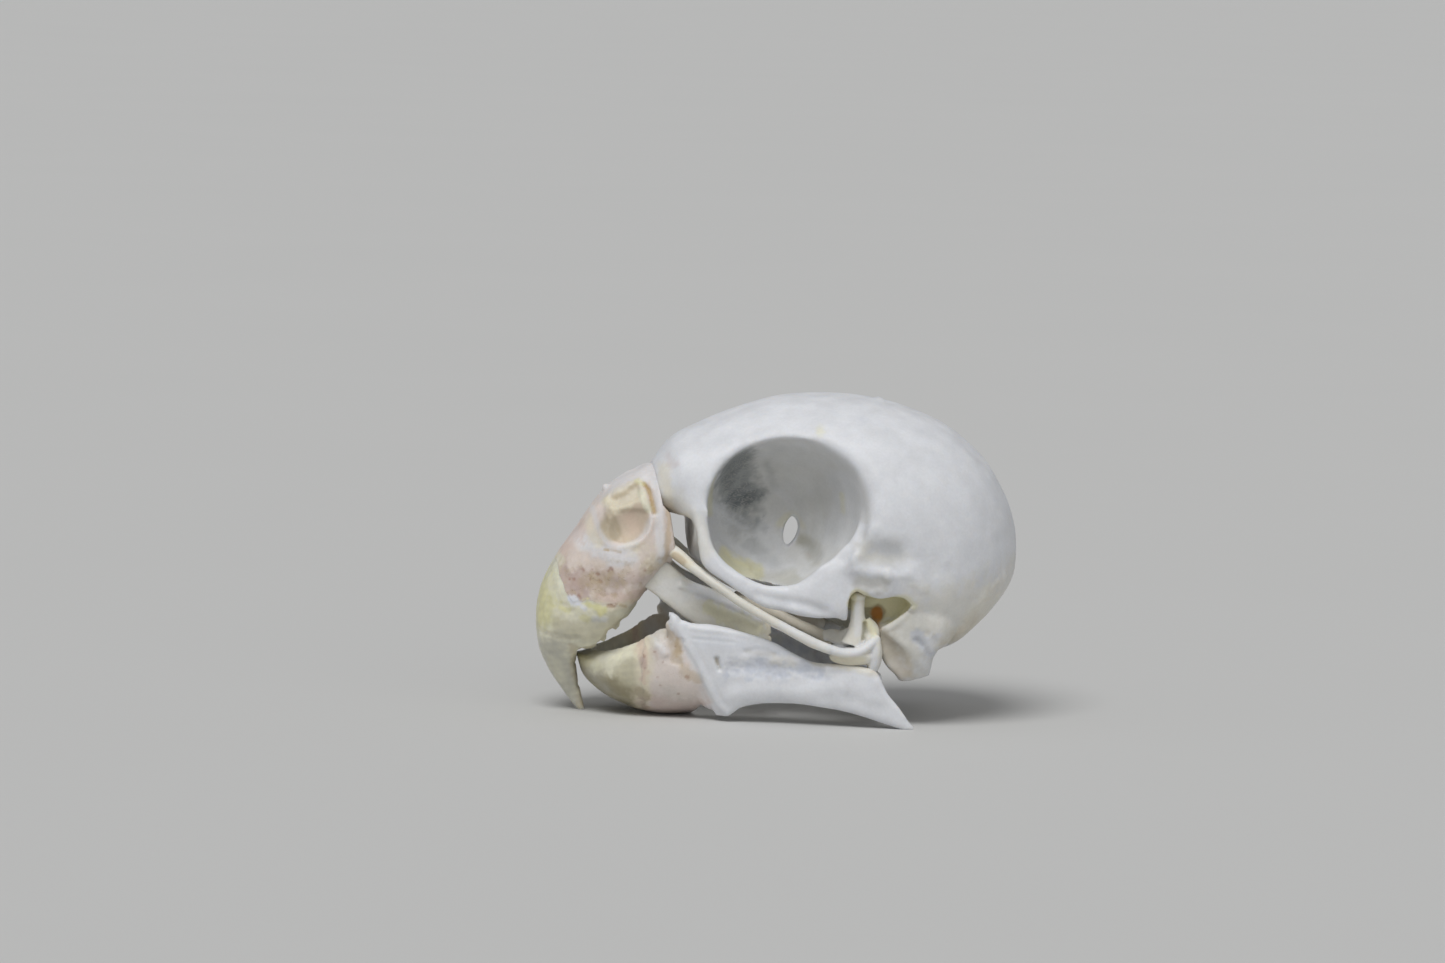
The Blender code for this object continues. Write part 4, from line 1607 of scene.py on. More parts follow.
    def strokes(self) -> list[Stroke]:
        """Lists what is raised and sunk on bone and horn.

        Returns:
            The strokes in order.
        """
        upper_lip = ((-9.6, 12.35), (-9.0, 12.45), (-8.2, 12.95), (-7.7, 13.2))
        step = ((-13.1, 4.75), (-12.5, 4.55), (-11.9, 4.4), (-11.0, 4.4))
        return [
            stroke(0.07, self.nostril_rim, 0.42, inner=3.1),
            stroke(0.12, upper_lip, 0.75, ragged=0.3, sideways=False, inner=2.4, fade=1.6),
            stroke(-0.24, ((-9.0, 11.85), (-8.4, 12.05), (-7.75, 12.45)), 0.5, 0.8, inner=2.5, fade=1.2),
            stroke(0.1, ((-9.3, 11.4), (-8.6, 11.55), (-7.3, 11.55)), 0.3, inner=2.4),
            stroke(0.13, ((-9.5, 11.95), (-9.15, 11.7)), 0.45, ragged=0.4, inner=2.5, fade=1.2),
            stroke(0.07, ((-9.4, 11.2), (-9.0, 10.5), (-8.6, 9.8)), 0.2, inner=2.6),
            stroke(-0.24, ((-7.35, 12.75), (-7.15, 12.5), (-7.0, 12.0), (-6.85, 11.3)), 0.22, inner=2.0),
            stroke(0.14, ((-7.5, 12.6), (-7.5, 12.1), (-7.4, 11.8)), 0.24, inner=2.0),
            stroke(0.24, ((-9.3, 12.35),), 0.34, 0.8, sideways=False, outer=0.15),
            stroke(0.1, ((-7.1, 13.4),), 0.8, sideways=False, outer=2.4),
            stroke(0.07, ((-6.55, 12.8), (-6.45, 11.2), (-6.4, 9.0)), 0.3, inner=2.8),
            stroke(-0.05, ((-6.9, 12.6), (-6.85, 10.6), (-6.8, 9.0)), 0.3, inner=2.8),
            stroke(-0.07, ((-11.3, 7.6), (-10.4, 7.4), (-9.0, 7.2)), 0.9, ragged=0.5, inner=1.6),
            stroke(0.06, ((-10.0, 9.2), (-8.4, 8.9)), 0.7, ragged=0.4, inner=2.4),
            stroke(-0.06, ((-7.6, 9.3), (-6.9, 8.6)), 0.5, ragged=0.6, inner=2.8),
            stroke(
                0.06, ((-12.1, 8.2), (-11.95, 7.3), (-11.6, 6.5), (-10.6, 6.1), (-9.2, 6.0)), 0.4, ragged=0.3
            ),
            stroke(-0.035, step, 0.24, 0.8, ragged=0.4),
            stroke(0.05, ((-10.9, 5.9), (-9.6, 5.6), (-8.6, 5.7)), 0.5, ragged=0.5),
            stroke(-0.06, ((-11.0, 2.8),), 0.2, sideways=False),
            stroke(-0.05, ((-10.85, 1.6),), 0.25, sideways=False),
        ]

    def dress_bone(self, surface: Surface, finish: BoneFinish) -> None:
        """Stains the bill's bone and paints the shadow under the nostril's upper lip.

        Args:
            surface: its surface.
            finish: the bone that it is dressed in.
        """
        slot = ((-7.35, 12.75), (-7.15, 12.5), (-7.0, 12.0), (-6.85, 11.3))
        surface.stain_and_shade(
            [
                wash(WHITE_BONE, 0.65, ((-9.6, 12.6), (-8.4, 13.2), (-7.2, 13.6)), 1.2),
                wash(WHITE_BONE, 0.7, ((-11.1, 9.9), (-10.1, 9.5), (-9.0, 8.9), (-8.2, 8.9)), 0.8),
                wash(CREAM, 0.6, ((-7.7, 9.4), (-7.0, 9.0), (-7.2, 8.4)), 0.7, ragged=0.7),
                wash(WHITE_BONE, 0.6, ((-6.6, 12.9), (-6.6, 11.0), (-6.5, 8.9)), 0.4),
                wash(OCHRE, 0.35, ((-6.2, 12.8), (-6.1, 11.2), (-6.2, 8.8)), 0.22, ragged=0.7),
                wash(DUSKY_PINK, 0.7, ((-11.9, 7.9), (-11.4, 7.1), (-11.0, 6.7)), 1.0, ragged=0.5),
                wash(DUSKY_PINK, 0.45, ((-10.6, 7.8), (-8.8, 7.6), (-7.9, 7.7)), 0.8, ragged=0.7),
                wash(TAN, 0.35, ((-10.2, 7.7), (-9.4, 7.7)), 0.6, ragged=0.8),
                wash(ROSE, 0.5, ((-9.8, 6.7), (-8.7, 6.6), (-7.6, 7.0)), 0.5, ragged=0.4),
                wash(ROSE, 0.5, ((-12.1, 8.6), (-11.4, 9.5), (-10.8, 10.3)), 0.6, ragged=0.5),
                wash(CREAM, 0.6, ((-10.4, 11.2), (-10.2, 10.2), (-9.8, 9.6)), 0.4, inner=2.0, fade=1.5),
                wash(TAN, 0.55, ((-8.5, 11.0),), 1.75, 0.3, 0.1, 3.1, 3.62, 0.3),
                wash(TAUPE, 0.65, ((-9.6, 11.1), (-9.2, 10.3)), 0.7, 0.35, 0.1, 3.0, 3.62),
                wash(ROSE, 0.35, ((-8.1, 10.9), (-7.9, 10.4)), 0.7, 0.9, 0.2, outer=3.62),
                wash(CREAM, 0.8, ((-9.1, 11.8), (-8.4, 12.0), (-7.8, 12.3)), 0.75, 0.5, inner=2.4, fade=1.2),
                # Painted shadow under the nostril's upper lip.
                wash(TAN, 0.5, ((-9.0, 12.0), (-8.4, 12.25), (-7.8, 12.7)), 0.22, 0.9, inner=2.4, fade=1.0),
                wash(CREAM, 0.8, ((-9.6, 12.0), (-9.2, 11.7), (-8.9, 11.4)), 0.36, inner=2.2, fade=1.2),
                wash(HORN_IVORY, 0.8, ((-7.55, 12.3), (-7.4, 11.8), (-7.2, 11.5)), 0.3, 0.5),
                wash(OCHRE, 0.75, slot, 0.17, 0.9),
                wash(PALE_YELLOW, 0.6, ((-7.7, 12.9), (-7.4, 12.75)), 0.2, 0.9),
                wash(WHITE_BONE, 0.45, self.nostril_rim, 0.26, 0.9),
                wash(OCHRE, 0.8, ((-9.55, 9.3), (-9.35, 9.28)), 0.13, 0.9),
                wash(TAN, 0.5, ((-9.2, 9.3), (-8.7, 9.2)), 0.1, 0.9),
                *self.border_washes(),
            ]
        )
        surface.speckle(self.specks, 0.065, RED_BROWN, 0.5)
        surface.pores = surface.reach(self.porous_band)
        surface.piece("bill_bone", "upper_bill_bone", finish.material())

    def dress_horn(self, surface: Surface, finish: HornFinish) -> None:
        """Stains the bill's horn and paints shadow along its cutting edge.

        Args:
            surface: its surface.
            finish: the horn that it is dressed in.
        """
        surface.stain_and_shade(
            [
                wash(HORN_YELLOW, 0.85, ((-12.6, 8.2), (-12.9, 7.0), (-12.9, 5.4)), 1.1, 1.0, 0.5),
                wash(HORN_IVORY, 0.8, ((-12.1, 8.3), (-11.95, 7.4), (-11.7, 6.6)), 0.35),
                wash(HORN_GREEN, 0.75, ((-11.7, 5.0), (-10.2, 4.9), (-9.2, 5.3)), 0.95),
                wash(HORN_GREEN, 0.5, ((-9.0, 6.0), (-8.0, 6.2)), 0.5),
                wash(HORN_GREY, 0.7, ((-12.2, 3.6), (-11.8, 2.2), (-11.1, 0.8)), 1.5, 0.9),
                wash(HORN_IVORY, 0.5, ((-12.2, 3.0), (-11.9, 2.0)), 0.5, 0.9),
                wash(TAN, 0.4, ((-11.2, 3.8), (-10.9, 2.4), (-10.6, 0.6)), 0.4, 0.9, 0.5),
                wash(HORN_YELLOW, 0.7, ((-11.9, 6.1), (-11.5, 5.8)), 0.35, ragged=0.8),
                wash(HORN_YELLOW, 0.5, ((-10.9, 5.6), (-10.4, 5.5)), 0.3, ragged=0.8),
                wash(BLUISH, 0.4, ((-10.1, 5.5), (-9.5, 5.5)), 0.3, ragged=0.5),
                wash(TAUPE, 0.15, ((-13.0, 4.7), (-12.4, 4.5), (-11.9, 4.4), (-11.1, 4.4)), 0.12, 0.9),
                # Painted shadow along the worn cutting edge and in its notches.
                wash(TAUPE, 0.5, ((-10.8, 3.75), (-10.0, 3.95), (-9.3, 4.8), (-8.4, 5.65)), 0.16, 0.9, 0.6),
                *self.border_washes(),
            ]
        )
        surface.piece("bill_horn", "upper_bill_sheath", finish.material())


@dataclass
class LowerJaw:
    """The lower jaw: its bone with both side bars, and the horn on its front."""

    grain: float = 0.08
    passes: int = 5
    fullness: float = 2.6
    belt: float = 0.6
    sheath_edge: tuple[Spot, ...] = (
        (-7.6, 9.0), (-7.55, 5.2), (-7.38, 4.8), (-7.5, 4.45), (-7.35, 4.1), (-7.52, 3.7),
        (-7.45, 3.3), (-7.62, 2.95), (-7.5, 2.5), (-7.6, 2.1), (-7.42, 1.7), (-7.5, 1.3),
        (-7.3, 0.9), (-7.42, 0.5), (-7.35, -2.0),
    )
    scoop: tuple[Section, ...] = (
        Section((-10.9, 3.35), (-10.85, 3.0), 0.8),
        Section((-10.4, 3.4), (-10.45, 2.0), 2.0),
        Section((-9.3, 3.85), (-9.3, 1.02), 3.1),
        Section((-8.0, 4.6), (-8.0, 0.42), 3.8),
        Section((-7.1, 5.25), (-7.0, 0.12), 4.15),
        Section((-6.3, 5.75), (-6.2, 0.02), 4.4),
        Section((-5.7, 5.55), (-4.9, 0.08), 4.6),
        Section((-5.0, 5.35), (-3.6, 0.3), 4.8),
        Section((-4.4, 5.2), (-2.8, 0.6), 4.95),
    )
    hollow: tuple[Section, ...] = (
        Section((-10.3, 6.0), (-10.0, 3.2), 0.7),
        Section((-9.4, 7.0), (-9.2, 2.3), 2.1),
        Section((-8.0, 8.0), (-8.0, 1.5), 3.0),
        Section((-6.5, 8.0), (-6.5, 1.15), 3.5),
        Section((-5.0, 8.0), (-5.2, 0.9), 3.85),
        Section((-3.8, 8.0), (-4.0, -0.8), 4.1),
        Section((-2.0, 8.0), (-2.0, -1.5), 4.6),
    )
    bar_fullness: float = 3.0
    bar: tuple[Section, ...] = (
        Section((-6.1, 5.95), (-3.6, 0.3), 0.3, 4.3),
        Section((-5.6, 5.7), (-3.1, 0.3), 0.4, 4.48),
        Section((-4.8, 5.4), (-2.7, 0.45), 0.42, 4.65),
        Section((-3.9, 5.35), (-2.3, 0.8), 0.42, 4.78),
        Section((-2.9, 5.15), (-1.8, 0.95), 0.42, 4.92),
        Section((-1.6, 4.77), (-1.1, 1.06), 0.42, 5.1),
        Section((-0.4, 4.33), (-0.2, 1.1), 0.42, 5.3),
        Section((0.6, 3.8), (0.6, 1.1), 0.42, 5.5),
        Section((1.6, 3.35), (1.6, 0.98), 0.45, 5.75),
        Section((3.0, 3.3), (3.0, 0.75), 0.5, 6.05),
        Section((4.2, 3.15), (4.2, 0.45), 0.55, 6.25),
        Section((4.95, 2.85), (5.0, 0.18), 0.5, 6.35),
        Section((5.5, 1.75), (5.7, -0.04), 0.45, 6.42),
        Section((6.1, 1.0), (6.2, -0.22), 0.4, 6.46),
        Section((6.65, 0.2), (6.65, -0.36), 0.3, 6.5),
        Section((6.95, -0.1), (6.9, -0.34), 0.18, 6.5),
    )
    inner_knob: Lump = Lump((4.0, 5.4, 2.45), (1.3, 1.2, 0.6))
    bar_corner: Mark = Mark(((-6.5, 5.8), (-5.9, 5.9)), 0.8)
    porous_band: Mark = Mark(((-6.3, 4.6), (-6.0, 2.8), (-5.4, 1.2)), 1.3, 0.9, 0.3)
    # Fills the corner between the scoop and the front of the side bar.
    fillet: tuple[Station, ...] = (
        Station((-6.0, 4.3, 5.55), 0.38, 0.42),
        Station((-5.5, 4.15, 4.3), 0.45, 0.5),
        Station((-4.8, 3.95, 2.8), 0.6, 0.6),
        Station((-4.3, 3.75, 1.8), 0.65, 0.55),
        Station((-3.9, 3.7, 1.1), 0.6, 0.45),
        Station((-3.5, 3.8, 0.75), 0.5, 0.3),
    )
    ridge: tuple[Spot, ...] = (
        (-6.2, 5.9), (-5.8, 5.4), (-5.3, 4.5), (-4.5, 3.1), (-4.0, 2.0), (-3.5, 1.1), (-3.0, 0.5),
    )
    specks: tuple[Spot, ...] = (
        (-7.1, 3.9), (-6.9, 3.8), (-7.5, 3.6), (-6.45, 3.25), (-6.75, 2.4), (-6.6, 2.0),
        (-7.4, 2.9), (-7.55, 1.5), (-7.1, 1.1), (-6.6, 1.2), (-5.6, 1.5), (-5.2, 2.5), (-6.2, 4.6),
        (-5.8, 4.1),
    )
    mottles: tuple[Spot, ...] = (
        (-2.9, 3.3), (-2.5, 2.9), (-2.1, 3.2), (-1.7, 2.8), (-1.3, 3.3), (-1.0, 2.9), (-0.5, 3.1),
        (-0.1, 2.7), (0.3, 3.1), (0.8, 2.8), (1.2, 3.0), (1.8, 2.9), (-3.1, 2.6), (-1.9, 2.4),
        (0.0, 3.4),
    )

    def build(self, bone: BoneFinish, horn: HornFinish) -> None:
        """Makes both pieces.

        Args:
            bone: what the jaw's bone is dressed in.
            horn: what its sheath is dressed in.
        """
        scoop = fan(self.scoop, self.fullness, self.belt, around=96)
        pieces = [carved(scoop, [fan(self.hollow, self.fullness)])]
        for side in Side:
            pieces += [fan(self.bar, self.bar_fullness, side=side), lump(self.inner_knob, side)]
            pieces.append(limb(self.fillet, side=side))
        whole = Surface(fused(pieces, self.grain, self.passes), WHITE_BONE)
        whole.relax(whole.reach(Mark(self.ridge, 0.9, inner=2.8)) > 0.05, 14)
        whole.relax(whole.reach(self.bar_corner) > 0.05, 16)
        whole.weather(1.3, 0.025)
        whole.shape(self.strokes())
        before = slab([*self.sheath_edge, (-FAR, -2.0), (-FAR, 9.0)])
        behind = slab([*[(x - SEAM, z) for x, z in self.sheath_edge], (FAR, -2.0), (FAR, 9.0)])
        self.dress_bone(Surface(carved(whole.form(), [before]), WHITE_BONE), bone)
        self.dress_horn(Surface(carved(whole.form(), [behind]), HORN_GREEN), horn)

    def border_washes(self) -> list[Wash]:
        """Lists the stains that run across the line between bone and horn.

        Returns:
            The washes in order.
        """
        return [
            wash(CREAM, 1.0, ((-7.5, 5.5), (-7.5, 0.0)), 0.75, 0.9, 0.25),
            wash(ROSE, 0.6, ((-7.55, 4.4), (-7.45, 3.2), (-7.5, 2.2)), 0.3, 0.9, 0.8),
            wash(DUSKY_PINK, 0.6, ((-7.6, 3.4), (-7.4, 2.9)), 0.25, 0.9, 0.8),
            wash(TAUPE, 0.75, ((-7.7, 1.6), (-7.35, 1.2), (-7.4, 0.8)), 0.4, 0.9, 0.8),
            wash(DUSKY_PINK, 0.5, ((-7.5, 0.9), (-7.2, 0.3)), 0.5, 0.9, 0.5),
        ]

    def strokes(self) -> list[Stroke]:
        """Lists what is raised and sunk on bone and horn.

        Returns:
            The strokes in order.
        """
        return [
            stroke(0.09, self.ridge, 0.32, inner=3.2),
            stroke(0.12, ((-6.1, 5.95), (-5.7, 5.75)), 0.35, sideways=False, inner=3.8),
            stroke(-0.08, ((-6.3, 5.1), (-5.9, 4.3), (-5.9, 3.6)), 0.6, 0.6, ragged=0.5, inner=3.4),
            stroke(0.06, ((-7.4, 4.9), (-6.9, 4.3), (-6.3, 3.7)), 0.3, ragged=0.4, inner=3.2),
            stroke(-0.2, ((-3.6, 3.5), (-3.45, 2.95)), 0.21, inner=4.0),
            stroke(-0.14, ((-2.8, 3.1), (-1.3, 3.0), (0.3, 3.0), (1.9, 2.95)), 0.6, ragged=0.3, inner=4.4),
            stroke(0.08, ((-3.0, 1.5), (-1.3, 1.8), (0.8, 1.8), (3.0, 2.2)), 0.7, inner=4.4),
            stroke(0.05, ((-4.9, 5.15), (-2.3, 4.85), (0.3, 4.2), (1.4, 3.8)), 0.22, inner=4.4),
            stroke(-0.03, ((-4.9, 4.6), (-2.6, 4.4)), 0.15, inner=4.4),
            stroke(-0.06, ((-2.1, 3.9), (-1.3, 4.05), (-0.4, 3.8)), 0.25, inner=4.4),
            stroke(-0.06, ((3.5, 1.4), (5.0, 0.9)), 0.6, inner=5.0),
            stroke(0.07, ((2.2, 3.1), (3.4, 3.15), (4.5, 2.9)), 0.3, inner=5.0),
            stroke(0.05, ((5.0, 2.4), (5.6, 1.4), (6.4, 0.5)), 0.3, inner=5.5),
        ]

    def dress_bone(self, surface: Surface, finish: BoneFinish) -> None:
        """Stains the jaw's bone and paints shade on its inner walls.

        Args:
            surface: its surface.
            finish: the bone that it is dressed in.
        """
        surface.stain_and_shade(
            [
                wash(PINK_BONE, 0.85, ((-7.0, 4.0), (-6.5, 2.6), (-5.7, 1.0)), 1.75, 0.35, 0.15),
                wash(PINK_BONE, 0.6, ((-5.8, 4.9), (-5.2, 3.4), (-4.5, 2.0), (-4.0, 1.2)), 0.45, 0.9),
                wash(DUSKY_PINK, 0.5, ((-7.2, 1.0), (-6.0, 0.5), (-4.6, 0.4)), 1.1),
                wash(DUSKY_PINK, 0.45, ((-7.5, 3.8), (-6.9, 3.8)), 0.35, ragged=0.8),
                wash(TAN, 0.45, ((-6.5, 5.5), (-5.9, 4.5), (-5.7, 3.5)), 0.5, ragged=0.7),
                wash(OCHRE, 0.35, ((-5.6, 4.5), (-5.7, 3.6)), 0.3, ragged=0.8),
                wash(TAN, 0.4, ((-5.3, 2.7), (-4.6, 2.4)), 0.4, ragged=0.6),
                wash(WHITE_BONE, 0.55, ((-7.3, 5.0), (-6.9, 4.4), (-6.3, 3.8)), 0.4, 0.9, 0.6),
                wash(WHITE_BONE, 0.8, ((-7.0, 5.5), (-6.4, 5.9), (-5.8, 5.7)), 0.4),
                wash(WHITE_BONE, 0.9, self.ridge, 0.34, 0.9, 0.1),
                wash(BLUISH, 0.6, ((-2.8, 3.1), (0.3, 3.0), (2.0, 2.95)), 0.7, 0.9, 0.7),
                wash(BLUISH, 0.3, ((-4.4, 4.6), (-2.2, 4.2), (0.0, 3.8)), 0.6, 0.9),
                wash(CREAM, 0.3, ((-0.5, 3.5), (0.4, 3.3)), 0.45),
                wash(TAUPE, 0.25, ((-2.0, 3.9), (-0.5, 3.8)), 0.22, 0.9),
                wash(CREAM, 0.5, ((1.8, 3.5), (4.8, 3.1)), 0.5),
                wash(TAUPE, 0.7, ((-3.62, 3.5), (-3.52, 3.2)), 0.12, 0.9),
                wash(GREY_BONE_AND_SHADE, 0.5, ((-3.45, 3.0),), 0.2, 0.9),
                # Painted shade inside the jaw's scoop, on the surfaces nearer the middle.
                wash(GREY_BONE_AND_SHADE, 0.6, ((-6.4, 5.6), (-5.6, 2.5)), 2.0, outer=3.9),
                *self.border_washes(),
            ]
        )
        surface.speckle(self.specks, 0.06, RED_BROWN, 0.42, inner=3.9)
        surface.speckle(self.mottles, 0.16, BLUISH, 0.7, inner=4.4)
        surface.pores = surface.reach(self.porous_band) * 0.8
        surface.piece("jaw_bone", "lower_jaw", finish.material())

    def dress_horn(self, surface: Surface, finish: HornFinish) -> None:
        """Stains the jaw's horn and paints shade under it and on its inner wall.

        Args:
            surface: its surface.
            finish: the horn that it is dressed in.
        """
        surface.stain_and_shade(
            [
                # Painted shade: the horn darker towards its bottom.
                wash(BROWN_SHADE, 0.65, ((-10.2, 2.2), (-9.2, 1.3), (-7.6, 1.0)), 1.5),
                wash(HORN_IVORY, 0.9, ((-9.6, 3.1), (-9.0, 3.5), (-8.2, 3.9)), 0.95, ragged=0.5),
                wash(HORN_GREEN, 0.6, ((-8.3, 3.0), (-8.2, 2.2)), 0.6, ragged=0.5),
                wash(HORN_YELLOW, 0.4, ((-10.8, 3.2), (-10.0, 2.9)), 0.6),
                # Painted shade on the horn's surfaces nearer the middle, inside the scoop.
                wash(HORN_GREY, 0.5, ((-9.0, 3.0),), 3.0, outer=2.6),
                *self.border_washes(),
            ]
        )
        surface.piece("jaw_horn", "lower_jaw_sheath", finish.material())


@dataclass
class PairedBones:
    """The small bones that come in a left and a right one."""

    grain: float = 0.05
    passes: int = 5
    jugal: tuple[Station, ...] = (
        Station((-6.2, 3.25, 9.5), 0.24, 0.34),
        Station((-5.7, 3.7, 9.1), 0.26, 0.34),
        Station((-5.3, 4.05, 8.8), 0.26, 0.32),
        Station((-4.7, 4.6, 8.3), 0.26, 0.28),
        Station((-3.4, 5.35, 7.36), 0.26, 0.25),
        Station((-2.4, 5.75, 6.66), 0.26, 0.25),
        Station((-1.2, 6.1, 5.96), 0.26, 0.25),
        Station((0.0, 6.35, 5.3), 0.26, 0.26),
        Station((0.9, 6.6, 4.82), 0.26, 0.28),
        Station((1.7, 6.72, 4.42), 0.27, 0.28),
        Station((2.5, 6.76, 4.12), 0.28, 0.26),
    )
    jugal_end: float = 2.42
    quadrate_front: float = 1.5
    jugal_inner: float = 5.9  # behind the quadrate's front, the cheek bar keeps further out than this
    palatine: tuple[Section, ...] = (
        Section((-6.5, 8.9), (-7.65, 7.4), 0.26, 3.1),
        Section((-5.85, 8.35), (-6.8, 6.8), 0.28, 3.05),
        Section((-4.8, 7.5), (-5.0, 5.35), 0.32, 2.88),
        Section((-3.4, 6.95), (-3.2, 4.2), 0.34, 2.7),
        Section((-2.1, 6.15), (-2.0, 3.5), 0.32, 2.48),
        Section((-1.1, 5.45), (-1.1, 3.2), 0.34, 2.27),
        Section((-0.45, 5.0), (-0.4, 3.7), 0.25, 2.15),
    )
    root_depth: float = 0.14
    pterygoid: tuple[Station, ...] = (
        Station((-2.2, 0.95, 6.4), 0.12, 0.12),
        Station((-1.8, 1.1, 6.25), 0.22, 0.24),
        Station((-0.4, 1.85, 5.75), 0.26, 0.3),
        Station((1.0, 2.95, 5.1), 0.26, 0.28),
        Station((2.35, 4.0, 4.55), 0.3, 0.32),
        Station((2.85, 4.5, 4.25), 0.34, 0.34),
    )
    quadrate: tuple[tuple[Station, ...], ...] = (
        (
            Station((3.98, 6.0, 7.0), 0.34, 0.34),
            Station((3.97, 5.98, 6.6), 0.36, 0.36),
            Station((3.95, 5.97, 6.1), 0.36, 0.37),
            Station((3.95, 5.95, 5.5), 0.38, 0.43),
            Station((3.85, 5.95, 4.9), 0.44, 0.52),
            Station((3.7, 5.95, 4.3), 0.5, 0.7),
        ),
        (
            Station((4.42, 5.8, 5.65), 0.28, 0.22),
            Station((4.7, 5.85, 5.25), 0.34, 0.34),
            Station((4.8, 5.9, 4.9), 0.36, 0.36),
            Station((4.6, 6.0, 4.4), 0.38, 0.42),
        ),
        (
            Station((2.3, 6.76, 4.2), 0.28, 0.27),
            Station((2.95, 6.74, 3.98), 0.3, 0.27),
            Station((3.55, 6.68, 3.93), 0.32, 0.28),
            Station((4.15, 6.58, 4.06), 0.32, 0.28),
            Station((4.65, 6.42, 4.42), 0.32, 0.28),
            Station((4.98, 6.2, 4.75), 0.28, 0.26),
        ),
        (
            Station((4.85, 6.25, 4.6), 0.36, 0.32),
            Station((4.88, 6.25, 3.95), 0.44, 0.38),
            Station((4.82, 6.2, 3.35), 0.42, 0.36),
            Station((4.72, 6.1, 2.98), 0.36, 0.3),
        ),
        (
            Station((3.6, 5.75, 4.75), 0.3, 0.5),
            Station((3.1, 5.35, 4.62), 0.28, 0.42),
            Station((2.6, 5.1, 4.75), 0.26, 0.36),
            Station((2.2, 4.95, 4.7), 0.24, 0.28),
        ),
    )
    quadrate_lumps: tuple[Lump, ...] = (
        Lump((3.95, 6.03, 6.93), (0.42, 0.45, 0.28)),
        Lump((3.72, 6.15, 3.7), (1.32, 0.7, 0.5)),
        Lump((3.3, 5.0, 4.0), (0.7, 0.6, 0.45)),
    )
    palatine_chips: tuple[Lump, ...] = (
        Lump((-0.25, 2.2, 4.95), (0.2, 0.6, 0.14)),
        Lump((-0.4, 2.2, 4.45), (0.16, 0.6, 0.1)),
        Lump((-0.2, 2.2, 4.05), (0.2, 0.6, 0.14)),
    )

    def forms(self) -> dict[str, Form]:
        """Builds the right one of each bone.

        Returns:
            The forms by name.
        """
        joint = [limb(path) for path in [*self.quadrate, self.jugal]]
        joint += [lump(shape) for shape in self.quadrate_lumps]
        joined = fused(joint, self.grain, self.passes)
        before = box((-FAR, self.jugal_inner, -FAR), (self.jugal_end, FAR, FAR), 0)
        behind = box((self.jugal_end - SEAM, -FAR, -FAR), (FAR, FAR, FAR), 0)
        inside = box((self.quadrate_front, -FAR, -FAR), (FAR, self.jugal_inner, FAR), 0)
        ahead = box((-FAR, -FAR, -FAR), (self.quadrate_front, FAR, FAR), 0)
        chips = [lump(chip) for chip in self.palatine_chips]
        plate = carved(fan(self.palatine, 5.0, around=64), [*chips, self.bill_space()])
        return {
            "quadrate": carved(joined.copy(), [before, ahead]),
            "jugal_bar": carved(joined, [behind, inside]),
            "palatine": fused([plate], self.grain, self.passes),
            "pterygoid": fused([limb(self.pterygoid)], self.grain, self.passes),
        }

    def bill_space(self) -> Form:
        """Builds the space of the upper bill, without the skin that the plates are rooted in.

        Returns:
            The closed form.
        """
        bill = UpperBill()
        form = fan(bill.sections, bill.fullness, bill.belt)
        bmesh.ops.translate(form, verts=form.verts, vec=(0, 0, self.root_depth))
        return form

    def strokes(self) -> dict[str, list[Stroke]]:
        """Lists what is raised and sunk on each bone.

        Returns:
            The strokes by bone.
        """
        return {
            "quadrate": [
                stroke(-0.2, ((4.32, 5.5), (4.3, 5.0), (4.25, 4.65)), 0.17),
                stroke(-0.06, ((2.6, 3.6), (3.4, 3.5), (4.3, 3.6)), 0.25, inner=5.8),
                stroke(0.04, ((3.75, 6.4), (3.75, 5.4)), 0.15),
            ],
            "palatine": [
                stroke(0.08, ((-5.4, 7.3), (-3.6, 6.6), (-2.0, 5.9), (-0.9, 5.3)), 0.3),
                stroke(-0.05, ((-4.2, 5.9), (-2.4, 5.2), (-1.4, 4.8)), 0.5),
            ],
        }

